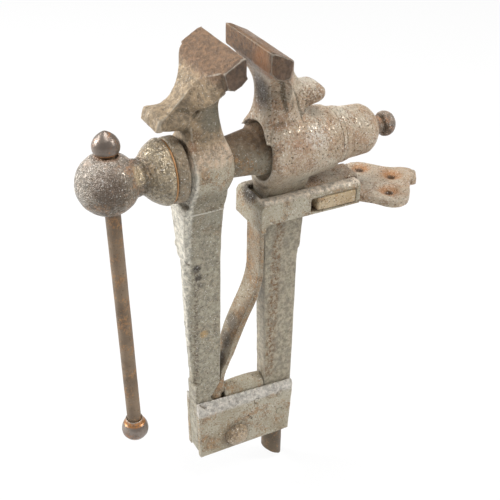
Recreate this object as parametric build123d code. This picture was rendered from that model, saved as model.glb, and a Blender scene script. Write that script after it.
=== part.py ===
from build123d import *
import math
import os

# Small blacksmith's leg vise, millimetres.
# X is across the jaws, Y runs along the screw from the handle towards the bench, Z is up the legs.
# The origin is on the foot peg's axis, level with the underside of the foot box.

# Overall layout
screw_height = 253.5
leg_spacing = 63.0
pivot_behind_front_leg = 24.5
pivot_height = 13.5
jaw_opening = 15.9
swing_open = 5.1
closed_jaw_gap = 0.3

# Fits
running_clearance = 0.06
seat_clearance = 0.05
side_clearance = 0.2
rest_gap = 0.3

# Jaws
jaw_width = 64.0
jaw_plate_thickness = 3.5
jaw_plate_height = 15.5
jaw_height = 20.0
rear_jaw_face = -28.3
jaw_rise = 81.1
jaw_block_depth = 16.2
jaw_top_slope = 7.2

# Rear leg
rear_leg_depth_foot = 24.2
rear_leg_depth_top = 31.2
rear_leg_half_width = 7.0
rear_leg_collar_half_width = 10.3
rear_leg_collar_depth = 31.0
rear_leg_step_drop = 81.5
rear_leg_step_depth = 1.2
rear_neck_half_width = 13.0
rear_neck_front = -18.0
rear_neck_depth = 20.0

# Eye barrel of the rear leg
barrel_front = -19.5
barrel_length = 56.5
barrel_radius_front = 27.0
barrel_radius_rear = 22.0
barrel_mouth_clearance = 2.3
barrel_mouth_depth = 21.5

# Front leg
front_leg_depth_top = 27.5
front_leg_depth_foot = 21.0
front_leg_half_width = 7.6
front_leg_collar_half_width = 12.0
front_leg_collar_drop = 31.0
front_leg_chamfer = 4.8
front_leg_swell = 42.0
front_leg_collar_reach = 2.6
front_leg_collar_rise = 5.9
boss_radius = 24.0
boss_length = 33.0
boss_face = -77.2
boss_ring_radius = 20.5
boss_ring_height = 1.2
boss_edge_bevel = 0.7
boss_recess = 5.0
boss_crown_radius = 100.0
front_neck_half_width = 12.5
front_neck_rear = -52.0
eye_rise = 0.3
eye_drop = 6.2
eye_clearance = 0.7

# Chins under the jaws
front_chin_reach = 35.0
front_chin_lip = (2.5, 6.5)
front_chin_sag = (0.0, 0.0, 0.0)
rear_chin_reach = 25.5
rear_chin_lip = (1.0, 8.0)
rear_chin_sag = (12.0, 11.0, 5.5)
chin_half_width = 13.5
chin_waist_half_width = 8.0
chin_rise = 33.5

# Foot box
cheek_thickness = 4.8
cheek_height = 52.0
cheek_length = 79.5
cheek_rear = 9.5
cheek_bevel_height = 7.2
cheek_bevel_depth = 4.2
cheek_mitre = 9.0
foot_gap_half = 6.8
pivot_radius = 6.0
pivot_eye_radius = 12.5
pivot_head_radius = 10.0
pivot_head_height = 4.6
rove_radius = 8.0
rove_thickness = 1.6
cheek_rivet_radius = 2.5
cheek_rivet_low = 22.0
cheek_rivet_high = 40.0
spacer_front = -46.0
peg_radius = 8.4
peg_length = 22.0
peg_bevel = 12.0
peg_tenon_radius = 3.5
peg_tenon_length = 16.0

# Leaf spring
spring_thickness = 4.2
spring_half_width = 10.2
spring_foot_half_width = 5.6
spring_bend_drop = 8.0
spring_foot_rise = 16.0

# Mounting strap, key and bench plate
strap_half_width = 19.8
strap_front_wall = 4.2
strap_lip = 6.0
strap_height = 17.5
strap_drop = 48.5
strap_rear = 54.7
strap_edge_bevel = 3.0
key_width = 32.0
key_height = 10.6
key_proud = 0.6
key_lift = 2.0
key_draw = 5.0
key_front = 19.0
plate_thickness = 6.0
plate_below_strap = 1.5
plate_hole_radius = 2.9
plate_sink_radius = 8.6
plate_sink_depth = 2.4
plate_hole_half_spacing = 19.6
plate_hole_line = 79.8
plate_rear_hole = 95.2
plate_tail_length = 17.0
plate_tail_width = 10.0
plate_tail_thickness = 5.0
plate_tail_turn = -32.0
shank_half_width = 10.4

# Screw and its stack of washers
ball_radius = 21.3
ball_centre = -126.3
neck_radius = 12.2
neck_bead_start = -109.0
bell_radius = 22.8
bell_length = 16.0
screw_radius = 7.94
screw_tail = 44.0
washer_radius = 22.4
washer_thickness = 8.9
bell_washer_thickness = 1.2

# Guard sleeve between the eyes
sleeve_length = 30.0
sleeve_radius_front = 13.8
sleeve_radius_rear = 18.0
sleeve_bore_front = 11.3
sleeve_bore_rear = 14.2
sleeve_spigot_radius = 13.0
sleeve_spigot_length = 9.0
sleeve_sink = 0.8

# Screw box
box_radius = 17.5
box_rear_radius = 18.9
box_rear_end = 73.0
box_collar_radius = 20.6
box_collar_length = 9.3
box_bore_radius = 12.6
box_bore_depth = 60.0
box_key_width = 5.0
box_key_length = 22.0
box_key_height = 4.4
end_knob_radius = 9.35
end_knob_thickness = 15.6
end_knob_neck_radius = 7.9
end_knob_neck_length = 3.6
end_knob_stem_radius = 4.0

# Handle
handle_radius = 5.3
handle_hole_radius = 6.4
handle_lean = 1.8
handle_offset = 1.3
upper_knob_radius = 9.25
lower_knob_radius = 10.1
lower_knob_drop = 209.9
knob_seat_gap = 0.4

# Places that follow from the sizes above
jaw_top = screw_height + jaw_rise
chin_underside = screw_height + chin_rise
rear_leg_step_height = screw_height - rear_leg_step_drop
front_leg_collar_height = screw_height - front_leg_collar_drop
strap_bottom = screw_height - strap_drop
key_underside = strap_bottom + key_lift
plate_underside = strap_bottom - plate_below_strap
front_leg_centre = -leg_spacing
pivot_y = front_leg_centre + pivot_behind_front_leg
jaw_middle = jaw_top - jaw_plate_height / 2
swing_closed = math.degrees(math.asin((jaw_opening - closed_jaw_gap) / (jaw_middle - pivot_height)))
front_jaw_face = rear_jaw_face - jaw_opening
closed_front_face = rear_jaw_face - closed_jaw_gap
barrel_rear = barrel_front + barrel_length
boss_rear = boss_face + boss_length
washer_rear = boss_face - rest_gap
bell_face = washer_rear - washer_thickness - bell_washer_thickness
cheek_front = cheek_rear - cheek_length
cheek_outer = foot_gap_half + cheek_thickness
strap_inner = rear_leg_collar_half_width + side_clearance
strap_top = strap_bottom + strap_height
collar_front = -rear_leg_collar_depth / 2 - 1.5
collar_rear = collar_front + rear_leg_collar_depth
spring_rear = collar_front - seat_clearance
spring_front = spring_rear - spring_thickness
strap_front = spring_front - seat_clearance - strap_front_wall
barrel_mouth_radius = sleeve_radius_rear + barrel_mouth_clearance
box_front = barrel_front + barrel_mouth_depth
box_thread_radius = screw_radius + running_clearance
key_rear = key_front + key_width
key_top = key_underside + key_height


def side_face(points):
    """Closed outline in the YZ plane through straight points."""
    return Plane.YZ * make_face(Polyline(*points, close=True))


def side_slab(points, half_width):
    """Outline in the YZ plane, thickened evenly to both sides of X = 0."""
    return extrude(side_face(points), amount=half_width, both=True)


def front_slab(points, half_width_rows):
    """Solid limited in X by rows of (height, half width), as deep as the outline asks."""
    left = [(-w, z) for z, w in reversed(half_width_rows)]
    right = [(w, z) for z, w in half_width_rows]
    face = Plane.XZ * make_face(Polyline(*(right + left), close=True))
    reach = max(abs(y) for y, _ in points) + 10
    return side_slab(points, max(w for _, w in half_width_rows) + 1) & extrude(face, amount=reach, both=True)


def swept_chin(top, bottom, plan):
    """Curved chin: side outline between two splines, kept inside a curved plan outline."""
    side = make_face(
        Curve() + Spline(*top) + Line(top[-1], bottom[-1]) + Spline(*bottom) + Line(bottom[0], top[0])
    )
    near = [(x, y) for y, x in plan]
    far = [(-x, y) for x, y in near]
    outline = make_face(Curve() + Spline(*near) + Line(near[-1], far[-1]) + Spline(*far) + Line(far[0], near[0]))
    widest = max(x for x, _ in near) + 1
    slab = extrude(Plane.YZ * side, amount=widest, both=True)
    return slab & extrude(outline, amount=jaw_top + 10)


def turned(profile, height=screw_height):
    """Solid of revolution about the screw's line from (y, radius) points."""
    points = [(profile[0][0], height)] + [(y, height + r) for y, r in profile] + [(profile[-1][0], height)]
    axis = Axis((0, 0, height), (0, 1, 0))
    return revolve(side_face(points), axis=axis)


def rod_y(radius, start, end, height=screw_height, x=0):
    """Cylinder along Y from start to end."""
    return Pos(x, (start + end) / 2, height) * Rot(90, 0, 0) * Cylinder(radius, end - start)


def rod_x(radius, start, end, y, z):
    """Cylinder along X from start to end."""
    return Pos((start + end) / 2, y, z) * Rot(0, 90, 0) * Cylinder(radius, end - start)


def block(x, y, z):
    """Box between the pairs x, y and z."""
    size = (x[1] - x[0], y[1] - y[0], z[1] - z[0])
    return Pos((x[0] + x[1]) / 2, (y[0] + y[1]) / 2, (z[0] + z[1]) / 2) * Box(*size)


def swing_about_pivot(shape, degrees):
    """Turn a shape about the front leg's pivot, positive opening the jaws."""
    return Pos(0, pivot_y, pivot_height) * Rot(degrees, 0, 0) * Pos(0, -pivot_y, -pivot_height) * shape


def jaw_block(face, direction):
    """Jaw behind its plate: direction -1 lies in front of the face, +1 behind it."""
    def at(depth, height):
        return (face + direction * depth, jaw_top - height)

    start = jaw_plate_thickness
    back = jaw_block_depth
    points = [
        at(start, 0.5),
        at(back, jaw_top_slope),
        at(back - 2.4, jaw_height - 1.5),
        at(back - 7.0, jaw_height),
        at(start, jaw_plate_height + 2.0),
    ]
    return side_slab(points, jaw_width / 2)


def jaw_plate(face, direction):
    """Hard facing on the gripping side of a jaw, bevelled below."""
    back = face + direction * jaw_plate_thickness
    foot = jaw_top - jaw_plate_height
    points = [
        (face, jaw_top),
        (back, jaw_top - 0.5),
        (back, foot - 1.5),
        (face, foot + 1.5),
    ]
    return side_slab(points, jaw_width / 2)


def rear_shank():
    """Tapered bar of the rear leg with its stepped collar under the barrel."""
    foot_half = rear_leg_depth_foot / 2
    top_half = rear_leg_depth_top / 2
    barrel_low = screw_height - barrel_radius_front + 5
    side = [
        (-foot_half, 0),
        (-foot_half, cheek_height),
        (-top_half, rear_leg_step_height),
        (collar_front, rear_leg_step_height + 20),
        (collar_front, barrel_low),
        (collar_rear, barrel_low),
        (collar_rear, rear_leg_step_height),
        (collar_rear - rear_leg_step_depth, rear_leg_step_height),
        (foot_half, cheek_height),
        (foot_half, 0),
    ]
    rows = [
        (0, foot_gap_half),
        (cheek_height, foot_gap_half),
        (rear_leg_step_height - 8, rear_leg_half_width),
        (strap_bottom - 5, rear_leg_collar_half_width),
        (strap_top, rear_leg_collar_half_width),
        (barrel_low, rear_leg_collar_half_width + 5),
    ]
    return front_slab(side, rows)


def barrel():
    """Outside of the eye barrel."""
    bulge = barrel_radius_front
    profile = [
        (barrel_front, bulge - 4.0),
        (barrel_front + 1.0, bulge - 2.2),
        (barrel_front + 5.0, bulge),
        (barrel_front + barrel_length * 0.4, bulge - 0.8),
        (barrel_front + barrel_length * 0.75, bulge - 2.6),
        (barrel_rear - 4.0, barrel_radius_rear + 0.8),
        (barrel_rear, barrel_radius_rear - 1.0),
    ]
    return turned(profile)


def rear_neck():
    """Neck that carries the rear jaw above the barrel."""
    back = rear_neck_front + rear_neck_depth
    low = screw_height + 12
    crown = jaw_top - jaw_height
    side = [
        (rear_neck_front - 6, low),
        (rear_neck_front - 6, screw_height + 17),
        (rear_neck_front - 1, screw_height + 29),
        (rear_neck_front, screw_height + 42),
        (rear_neck_front - 1.5, crown - 8),
        (rear_jaw_face + jaw_plate_thickness, crown + 2),
        (rear_jaw_face + jaw_plate_thickness, crown + 8),
        (rear_jaw_face + jaw_block_depth - 2.4, crown + 6),
        (back - 8, crown - 10),
        (back, crown - 22),
        (back + 6, low),
    ]
    rows = [
        (low, rear_neck_half_width + 7),
        (screw_height + 24, rear_neck_half_width + 1),
        (crown - 14, rear_neck_half_width),
        (crown - 5, rear_neck_half_width + 4),
        (crown + 1, jaw_width / 2 - 8),
        (crown + 8, jaw_width / 2 - 2),
    ]
    return front_slab(side, rows)


def chin(jaw_back, tip, lip, sag):
    """Chin that sweeps out from behind a jaw to a blunt tip.

    lip is the tip's top corner; sag lowers the underside's three points nearest the jaw.
    """
    out = 1 if tip > jaw_back else -1

    def behind_jaw(points):
        return [(jaw_back + out * depth, jaw_top - drop) for depth, drop in points]

    def from_tip(points):
        return [(tip - out * depth, chin_underside + rise) for depth, rise in points]

    top = behind_jaw([(0, jaw_top_slope + 0.5), (8.5, 14.5), (15, 26), (21, 33)])
    top += from_tip([(9.5, 9.5), lip])
    bottom = behind_jaw([(-3, jaw_height + 1.5), (3.2, 29)])
    bottom += from_tip([(28, 9 - sag[0]), (17, 3.5 - sag[1]), (9, 0.5 - sag[2]), (0, 0)])
    half = jaw_width / 2 - 1.0
    plan = [(jaw_back - out * 5, half), (jaw_back + out * 5.5, chin_half_width + 9)]
    plan += [(jaw_back + out * 9.5, chin_waist_half_width + 6)]
    plan += [(jaw_back + out * 15, chin_waist_half_width + 0.8)]
    plan += [(jaw_back + out * 22, chin_waist_half_width)]
    plan += [(tip - out * 9, chin_half_width - 2.5), (tip - out * 2.5, chin_half_width)]
    plan += [(tip + out * 0.5, chin_half_width - 3)]
    return swept_chin(top, bottom, plan)


def make_rear_leg():
    body = rear_shank() + barrel() + rear_neck() + jaw_block(rear_jaw_face, 1)
    body += chin(rear_jaw_face + jaw_block_depth, rear_chin_reach, rear_chin_lip, rear_chin_sag)
    body -= rod_y(barrel_mouth_radius, barrel_front - 1, box_front)
    body -= rod_y(barrel_mouth_radius + 1.5, barrel_front - 15, barrel_front)
    body -= rod_y(box_radius + seat_clearance, box_front - 1, barrel_rear + 1)
    body -= key_slot_in_barrel()
    body -= peg_tenon(seat_clearance)
    for y, z in leg_rivet_places():
        body -= rod_x(cheek_rivet_radius + seat_clearance, -cheek_outer, cheek_outer, y, z)
    return body


def key_slot_in_barrel():
    """Keyway under the screw box, cut in the barrel's bore."""
    low = screw_height - box_radius - box_key_height / 2 - seat_clearance
    half = box_key_width / 2 + seat_clearance
    return block((-half, half), (box_front - 1, barrel_rear + 1), (low, screw_height - box_radius / 2))


def front_shank():
    """Bar of the front leg from the foot box up to the collar under the boss."""
    top_half = front_leg_depth_top / 2
    front_top = front_leg_centre - top_half - 0.6
    rear_face = front_leg_centre + top_half - 0.9
    front_foot = cheek_front - 1.3
    heel = cheek_height + 2.5
    low = screw_height - boss_radius + 8
    side = [
        (cheek_front, pivot_height - 10.5),
        (front_foot, heel),
        (front_foot - 0.5, heel + 12),
        (front_top + 2.0, heel + 0.42 * (front_leg_collar_height - heel)),
        (front_top, front_leg_collar_height - front_leg_swell),
        (front_top - front_leg_collar_reach, front_leg_collar_height),
        (front_top - front_leg_collar_reach + 0.5, front_leg_collar_height + front_leg_collar_rise),
        (boss_face + boss_ring_height, front_leg_collar_height + front_leg_collar_rise + 1),
        (boss_face + boss_ring_height, low),
        (rear_face + 1, low),
        (rear_face + 0.3, front_leg_collar_height),
        (rear_face, heel + 13.5),
        (rear_face - 8, heel),
        (rear_face - 2, cheek_height - 8),
        (pivot_y - 10, pivot_height + 9),
        (pivot_y, pivot_height + pivot_eye_radius),
        (pivot_y, pivot_height - pivot_eye_radius),
    ]
    foot_half = foot_gap_half - side_clearance
    rows = [
        (0, foot_half),
        (cheek_height + 3, foot_half),
        (heel + 0.42 * (front_leg_collar_height - heel), front_leg_half_width),
        (front_leg_collar_height - front_leg_swell, front_leg_half_width),
        (front_leg_collar_height - front_leg_swell / 2, front_leg_half_width + 1.3),
        (front_leg_collar_height, front_leg_collar_half_width),
        (low, boss_radius - 7),
    ]
    return front_slab(side, rows), front_top, front_foot


def stop_chamfers(front_top, front_foot):
    """Square bars lying along the two front corners, to be cut away as stopped chamfers."""
    start = Vector(0, front_foot - 0.2, cheek_height + 18)
    end = Vector(0, front_top, front_leg_collar_height - front_leg_swell + 1.5)
    cutters = []
    for side in (-1, 1):
        shift = Vector(side * front_leg_half_width, 0, 0)
        along = Plane(origin=start + shift, x_dir=(1, 0, 0), z_dir=end - start)
        width = front_leg_chamfer * math.sqrt(2)
        cutters.append(extrude(along * Rot(0, 0, 45) * Rectangle(width, width), amount=(end - start).length))
    return cutters


def boss():
    """Eye boss of the front leg, its raised ring crowned so that the leg can rock on the washer."""
    shoulder = boss_face + boss_ring_height
    profile = [
        (boss_face, boss_ring_radius - 0.6),
        (boss_face + 0.6, boss_ring_radius),
        (shoulder, boss_ring_radius),
        (shoulder, boss_radius - boss_edge_bevel),
        (shoulder + boss_edge_bevel, boss_radius),
        (boss_face + boss_length * 0.6, boss_radius + 0.4),
        (boss_rear - 5, boss_radius - 2.5),
        (boss_rear, boss_radius - 7.5),
    ]
    crown = Pos(0, boss_face + boss_crown_radius, screw_height) * Rot(0, 90, 0)
    return turned(profile) & (crown * Cylinder(boss_crown_radius, 3 * boss_radius))


def front_neck():
    """Neck that carries the front jaw above the boss."""
    low = screw_height + 12
    crown = jaw_top - jaw_height
    jaw_back = front_jaw_face - jaw_block_depth
    side = [
        (boss_rear - 3, low),
        (boss_rear - 4, screw_height + 19),
        (front_neck_rear + 1.6, screw_height + 26),
        (front_neck_rear, screw_height + 35),
        (front_neck_rear - 0.7, screw_height + 43),
        (front_neck_rear + 0.5, crown - 7),
        (front_jaw_face - jaw_plate_thickness, crown + 2),
        (front_jaw_face - jaw_plate_thickness, crown + 8),
        (jaw_back + 2.4, crown + 6),
        (jaw_back - 7, chin_underside + 8),
        (jaw_back - 14, chin_underside),
        (boss_face + 3, low + 6),
        (boss_face + 3, low),
    ]
    rows = [
        (low, front_neck_half_width + 8),
        (screw_height + 24, front_neck_half_width + 1),
        (crown - 14, front_neck_half_width - 1),
        (crown - 5, front_neck_half_width + 4),
        (crown + 1, jaw_width / 2 - 8),
        (crown + 8, jaw_width / 2 - 2),
    ]
    return front_slab(side, rows)


def eye_slot():
    """Upright slot, level when the jaws are shut, that lets the leg swing about the screw."""
    radius = screw_radius + eye_clearance
    front = closed_place(boss_face) - 3
    rear = closed_place(boss_rear) + 3
    bottom = screw_height - eye_rise
    top = screw_height + eye_drop
    slot = rod_y(radius, front, rear, bottom) + rod_y(radius, front, rear, top)
    return opened_to_rest(slot + block((-radius, radius), (front, rear), (bottom, top)))


def opened_to_rest(shape):
    """Carry a piece of the front leg drawn with the jaws closed to its place at rest."""
    return swing_about_pivot(shape, swing_closed)


def closed_place(y):
    """Y of a point of the front leg on the screw's line once the jaws are closed."""
    turn = math.radians(swing_closed)
    return pivot_y + (y - pivot_y) * math.cos(turn) + (screw_height - pivot_height) * math.sin(turn)


def sleeve_shoulder():
    """Place of the sleeve's shoulder with the jaws closed, a little inside the back of the boss."""
    return closed_place(boss_rear) - sleeve_sink


def sleeve_seat(clearance):
    """Round seat for the sleeve's spigot in the back of the boss, faced off square to the sleeve."""
    seat = sleeve_shoulder()
    hole = rod_y(sleeve_spigot_radius + clearance, seat - sleeve_spigot_length, seat + 1)
    return opened_to_rest(hole + rod_y(sleeve_radius_front + 1.5, seat, seat + 4 * sleeve_sink))


def make_front_leg():
    shank, front_top, front_foot = front_shank()
    for cutter in stop_chamfers(front_top, front_foot):
        shank -= cutter
    shank -= rod_y(boss_radius, boss_face - 10, boss_face + boss_recess)
    eye = rod_x(pivot_eye_radius, -foot_gap_half + side_clearance, foot_gap_half - side_clearance, pivot_y, pivot_height)
    body = shank + eye + boss() + front_neck()
    front_tip = front_leg_centre - front_chin_reach
    body += chin(front_jaw_face - jaw_block_depth, front_tip, front_chin_lip, front_chin_sag)
    body += opened_to_rest(jaw_block(closed_front_face, -1))
    body -= rod_x(pivot_radius + running_clearance, -cheek_outer, cheek_outer, pivot_y, pivot_height)
    body -= eye_slot()
    return body - sleeve_seat(seat_clearance)


def make_sleeve():
    """Flared guard sleeve pressed into the back of the boss, level when the jaws are shut."""
    seat = sleeve_shoulder()
    rear = seat + sleeve_length
    outside = [
        (seat - sleeve_spigot_length, sleeve_spigot_radius),
        (seat + seat_clearance, sleeve_spigot_radius),
        (seat + seat_clearance, sleeve_radius_front),
        (rear - 10, (sleeve_radius_front + sleeve_radius_rear) / 2 + 0.3),
        (rear - 8, sleeve_radius_rear - 0.4),
        (rear - 1.5, sleeve_radius_rear),
        (rear, sleeve_radius_rear - 1.5),
    ]
    inside = [
        (seat - sleeve_spigot_length - 1, sleeve_bore_front),
        (seat, sleeve_bore_front),
        (rear + 1, sleeve_bore_rear),
    ]
    return opened_to_rest(turned(outside) - turned(inside))


def make_cheek(side):
    """Side plate of the foot box, bevelled along its top outer edge."""
    outline = [
        (cheek_front, 0),
        (cheek_front - 1.2, cheek_height + 1.2),
        (cheek_rear + 2.4, cheek_height - 3.2),
        (cheek_rear - 0.4, 0),
    ]
    plate = extrude(side_face(outline), amount=cheek_thickness)
    plate = Pos(foot_gap_half, 0, 0) * plate
    plate -= cheek_bevel()
    plate -= rod_x(pivot_radius + seat_clearance, 0, cheek_outer + 1, pivot_y, pivot_height)
    for y, z in leg_rivet_places() + spacer_rivet_places():
        plate -= rod_x(cheek_rivet_radius + seat_clearance, 0, cheek_outer + 1, y, z)
    return plate if side > 0 else mirror(plate, about=Plane.YZ)


def cheek_bevel():
    """Wedge that bevels the cheek's top outer edge, mitred at its front end."""
    low = cheek_height - cheek_bevel_height
    wedge = [
        (cheek_outer - cheek_bevel_depth, cheek_height + 4),
        (cheek_outer + 1, cheek_height + 4),
        (cheek_outer + 1, low),
        (cheek_outer, low),
        (cheek_outer - cheek_bevel_depth, cheek_height + 0.5),
    ]
    start = Plane(origin=(0, cheek_front - 5, 0), x_dir=(1, 0, 0), z_dir=(0, -1, 0))
    bar = extrude(start * make_face(Polyline(*wedge, close=True)), amount=-(cheek_length + 15))
    mitre = [
        (cheek_front - 4, cheek_height + 5),
        (cheek_front + cheek_mitre, low - 1),
        (cheek_rear + 8, low - 1),
        (cheek_rear + 8, cheek_height + 5),
    ]
    return bar & side_slab(mitre, cheek_outer + 2)


def leg_rivet_places():
    return [(0, cheek_rivet_low), (0, cheek_rivet_high)]


def spacer_rivet_places():
    return [(spacer_rear() - 8, cheek_rivet_high)]


def spacer_rear():
    return -rear_leg_depth_foot / 2 - side_clearance


def make_spacer():
    """Filler between the cheeks, round on top and hollowed to clear the pivot eye."""
    rear = spacer_rear()
    top = cheek_height + 4.5
    face = [
        (-foot_gap_half, 0),
        (-foot_gap_half, top - foot_gap_half),
        (foot_gap_half, top - foot_gap_half),
        (foot_gap_half, 0),
    ]
    section = make_face(Polyline(*face, close=True)) + Pos(0, top - foot_gap_half) * Circle(foot_gap_half)
    bar = extrude(Plane(origin=(0, rear, 0), x_dir=(1, 0, 0), z_dir=(0, -1, 0)) * section, amount=rear - spacer_front)
    clear = pivot_eye_radius + 1.5
    bar -= rod_x(clear, -cheek_outer, cheek_outer, pivot_y, pivot_height)
    bar -= block((-cheek_outer, cheek_outer), (spacer_front - 1, pivot_y + clear), (-1, pivot_height))
    bar -= block((-cheek_outer, cheek_outer), (spacer_front - 1, pivot_y), (-1, pivot_height + clear - 1))
    for y, z in spacer_rivet_places():
        bar -= rod_x(cheek_rivet_radius + seat_clearance, -cheek_outer, cheek_outer, y, z)
    return bar


def dome(radius, height):
    """Low dome standing on the XY plane."""
    sphere_radius = (radius ** 2 + height ** 2) / (2 * height)
    cap = Pos(0, 0, height - sphere_radius) * Sphere(sphere_radius)
    return cap & Pos(0, 0, height / 2) * Cylinder(radius * 1.1, height)


def make_pivot_rivet():
    """Rivet that the front leg swings on, domed on the near side and peened on the far side."""
    shank = rod_x(pivot_radius, -cheek_outer - rove_thickness, cheek_outer, pivot_y, pivot_height)
    head = Pos(cheek_outer, pivot_y, pivot_height) * Rot(0, 90, 0) * dome(pivot_head_radius, pivot_head_height)
    end = -cheek_outer - rove_thickness
    peen = Pos(end, pivot_y, pivot_height) * Rot(0, -90, 0) * dome(pivot_radius + 0.8, 1.8)
    return shank + head + peen


def make_pivot_rove():
    disc = rod_x(rove_radius, -cheek_outer - rove_thickness, -cheek_outer, pivot_y, pivot_height)
    hole = rod_x(pivot_radius + seat_clearance, -cheek_outer - 5, cheek_outer, pivot_y, pivot_height)
    return disc - hole


def make_cheek_rivets():
    """Flush rivets that hold the cheeks to the rear leg and the filler."""
    places = leg_rivet_places() + spacer_rivet_places()
    return Compound([rod_x(cheek_rivet_radius, -cheek_outer, cheek_outer, y, z) for y, z in places])


def peg_tenon(clearance=0.0):
    return Pos(0, 0, peg_tenon_length / 2 - 0.5) * Cylinder(peg_tenon_radius + clearance, peg_tenon_length + 1)


def make_foot_peg():
    """Round peg under the rear leg, cut off at a slant."""
    low = -peg_length - peg_bevel
    peg = Pos(0, 0, low / 2) * Cylinder(peg_radius, -low)
    slant = [
        (-peg_radius - 1, -peg_length),
        (-peg_radius - 1, low - 1),
        (peg_radius + 1, low - 1),
        (peg_radius + 1, low),
    ]
    return peg - side_slab(slant, peg_radius + 1) + peg_tenon()


def make_leaf_spring():
    """Leaf held flat under the strap, bent forward to push on the foot of the front leg."""
    reach = front_leg_centre + front_leg_depth_top / 2 - 0.9 + rest_gap
    bend = rear_leg_step_height - spring_bend_drop
    foot = cheek_height + spring_foot_rise
    heel = cheek_height + 2.2
    top = strap_top - 3

    def down(share):
        return bend - share * (bend - foot)

    front = [
        (spring_front, bend),
        (spring_front - 1.2, down(0.12)),
        (spring_front - 5.5, down(0.262)),
        (spring_front - 12.8, down(0.426)),
        (spring_front - 19.2, down(0.59)),
        (reach + 5.3, down(0.743)),
        (reach + 1.6, down(0.874)),
        (reach, foot),
    ]
    leaf = [
        (spring_rear, bend),
        (spring_rear - 0.9, down(0.131)),
        (spring_rear - 5.0, down(0.279)),
        (spring_rear - 12.2, down(0.443)),
        (spring_rear - 18.4, down(0.607)),
        (reach + 9.0, down(0.754)),
        (reach + 5.4, down(0.885)),
        (reach + 3.6, foot),
    ]
    outline = make_face(
        Curve()
        + Line((spring_front, top), (spring_front, bend))
        + Spline(*front, tangents=[(0, -1), (0, -1)])
        + Polyline(front[-1], (reach - 7.8, heel), (leaf[-1][0], heel), leaf[-1])
        + Spline(*reversed(leaf), tangents=[(0, 1), (0, 1)])
        + Polyline(leaf[0], (spring_rear, top), (spring_front, top))
    )
    slab = extrude(Plane.YZ * outline, amount=spring_half_width + 1, both=True)
    rows = [
        (heel - 1, spring_foot_half_width - 0.8),
        (foot, spring_foot_half_width),
        (down(0.74), spring_half_width - 0.4),
        (bend, spring_half_width),
        (top + 1, spring_half_width),
    ]
    points = [(w, z) for z, w in rows] + [(-w, z) for z, w in reversed(rows)]
    face = Plane.XZ * make_face(Polyline(*points, close=True))
    return slab & extrude(face, amount=leg_spacing + 20, both=True)


def make_mounting_strap():
    """U-shaped strap around the rear leg, its arms slotted for the draw key."""
    wide = strap_half_width
    outer = block((-wide, wide), (strap_front, strap_rear), (strap_bottom, strap_top))
    inner = block((-strap_inner, strap_inner), (strap_front + strap_front_wall, strap_rear + 1),
                  (strap_bottom - 1, strap_top + 1))
    lip = block((-wide, wide), (strap_front, strap_front + strap_front_wall), (strap_bottom - strap_lip, strap_top))
    strap = outer - inner + lip
    bevel = strap_edge_bevel
    long_edge = [(wide - bevel, strap_top + 0.1), (wide + 0.1, strap_top + 0.1), (wide + 0.1, strap_top - bevel)]
    plane = Plane(origin=(0, strap_front - 1, 0), x_dir=(1, 0, 0), z_dir=(0, -1, 0))
    edge_cut = extrude(plane * make_face(Polyline(*long_edge, close=True)), amount=-(strap_rear - strap_front + 2))
    strap -= edge_cut
    strap -= mirror(edge_cut, about=Plane.YZ)
    nose = [
        (strap_front - 0.1, strap_top - 2 * bevel),
        (strap_front - 0.1, strap_top + 0.1),
        (strap_front + 1.3 * bevel, strap_top + 0.1),
    ]
    strap -= side_slab(nose, wide + 1)
    slot = block((-wide - 1, wide + 1), (key_front - key_draw, key_rear + seat_clearance),
                 (key_underside - seat_clearance, key_top + seat_clearance))
    return strap - slot


def make_strap_key():
    """Draw key through both arms of the strap and the shank of the bench plate."""
    half = strap_half_width + key_proud
    key = block((-half, half), (key_front, key_rear), (key_underside, key_top))
    ends = key.faces().filter_by(Axis.X)
    return chamfer(ends.edges(), key_proud)


def plate_outline():
    """Uneven forged outline of the plate: a small far lobe, a full near lobe and a blunt rear corner."""
    neck = shank_half_width + 4
    start = strap_rear + rest_gap
    near = plate_hole_half_spacing
    line = plate_hole_line
    corner = plate_rear_hole + 19
    points = [
        (neck, start),
        (near, line - 19),
        (near + 7, line - 13),
        (near + 14, line - 7.5),
        (near + 16.3, line),
        (near + 14, line + 7),
        (near + 8, line + 13),
        (13.5, plate_rear_hole + 8),
        (-2.5, corner),
        (-7, corner - 4),
        (-11.5, plate_rear_hole + 6),
        (-near - 1.5, line + 12.5),
        (-near - 10.0, line + 3),
        (-near - 10.4, line - 7),
        (-near - 4, line - 15),
        (-neck, start),
    ]
    return make_face(Curve() + Spline(*points) + Line(points[-1], points[0]))


def make_bench_plate():
    """Bench plate with three countersunk holes, a short tail and a tall slotted shank."""
    plate = Pos(0, 0, plate_underside) * extrude(plate_outline(), amount=plate_thickness)
    tab = extrude(RectangleRounded(plate_tail_length, plate_tail_width, 3.5), amount=plate_tail_thickness)
    tail = Pos(4, plate_rear_hole + 14, plate_underside) * Rot(0, 0, plate_tail_turn) * tab
    shank_front = collar_rear + seat_clearance
    shank_end = key_rear + key_draw + 1.5
    shank = block((-shank_half_width, shank_half_width), (shank_front, shank_end), (plate_underside, strap_top + 1.2))
    rounding = shank.edges().filter_by(Axis.Y).group_by(Axis.Z)[-1]
    shank = fillet(rounding, strap_edge_bevel)
    root = block((-shank_half_width - 2, shank_half_width + 2), (strap_rear + 1.5, key_rear + 10),
                 (plate_underside, plate_underside + plate_thickness))
    body = plate + tail + shank + root
    body -= block((-strap_half_width, strap_half_width), (key_front - seat_clearance, key_rear + key_draw - 2),
                  (key_underside - seat_clearance, key_top + seat_clearance))
    for x, y in plate_holes():
        body -= countersunk_hole(x, y)
    return body


def plate_holes():
    half = plate_hole_half_spacing
    return [(-half, plate_hole_line), (half, plate_hole_line), (0, plate_rear_hole)]


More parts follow.
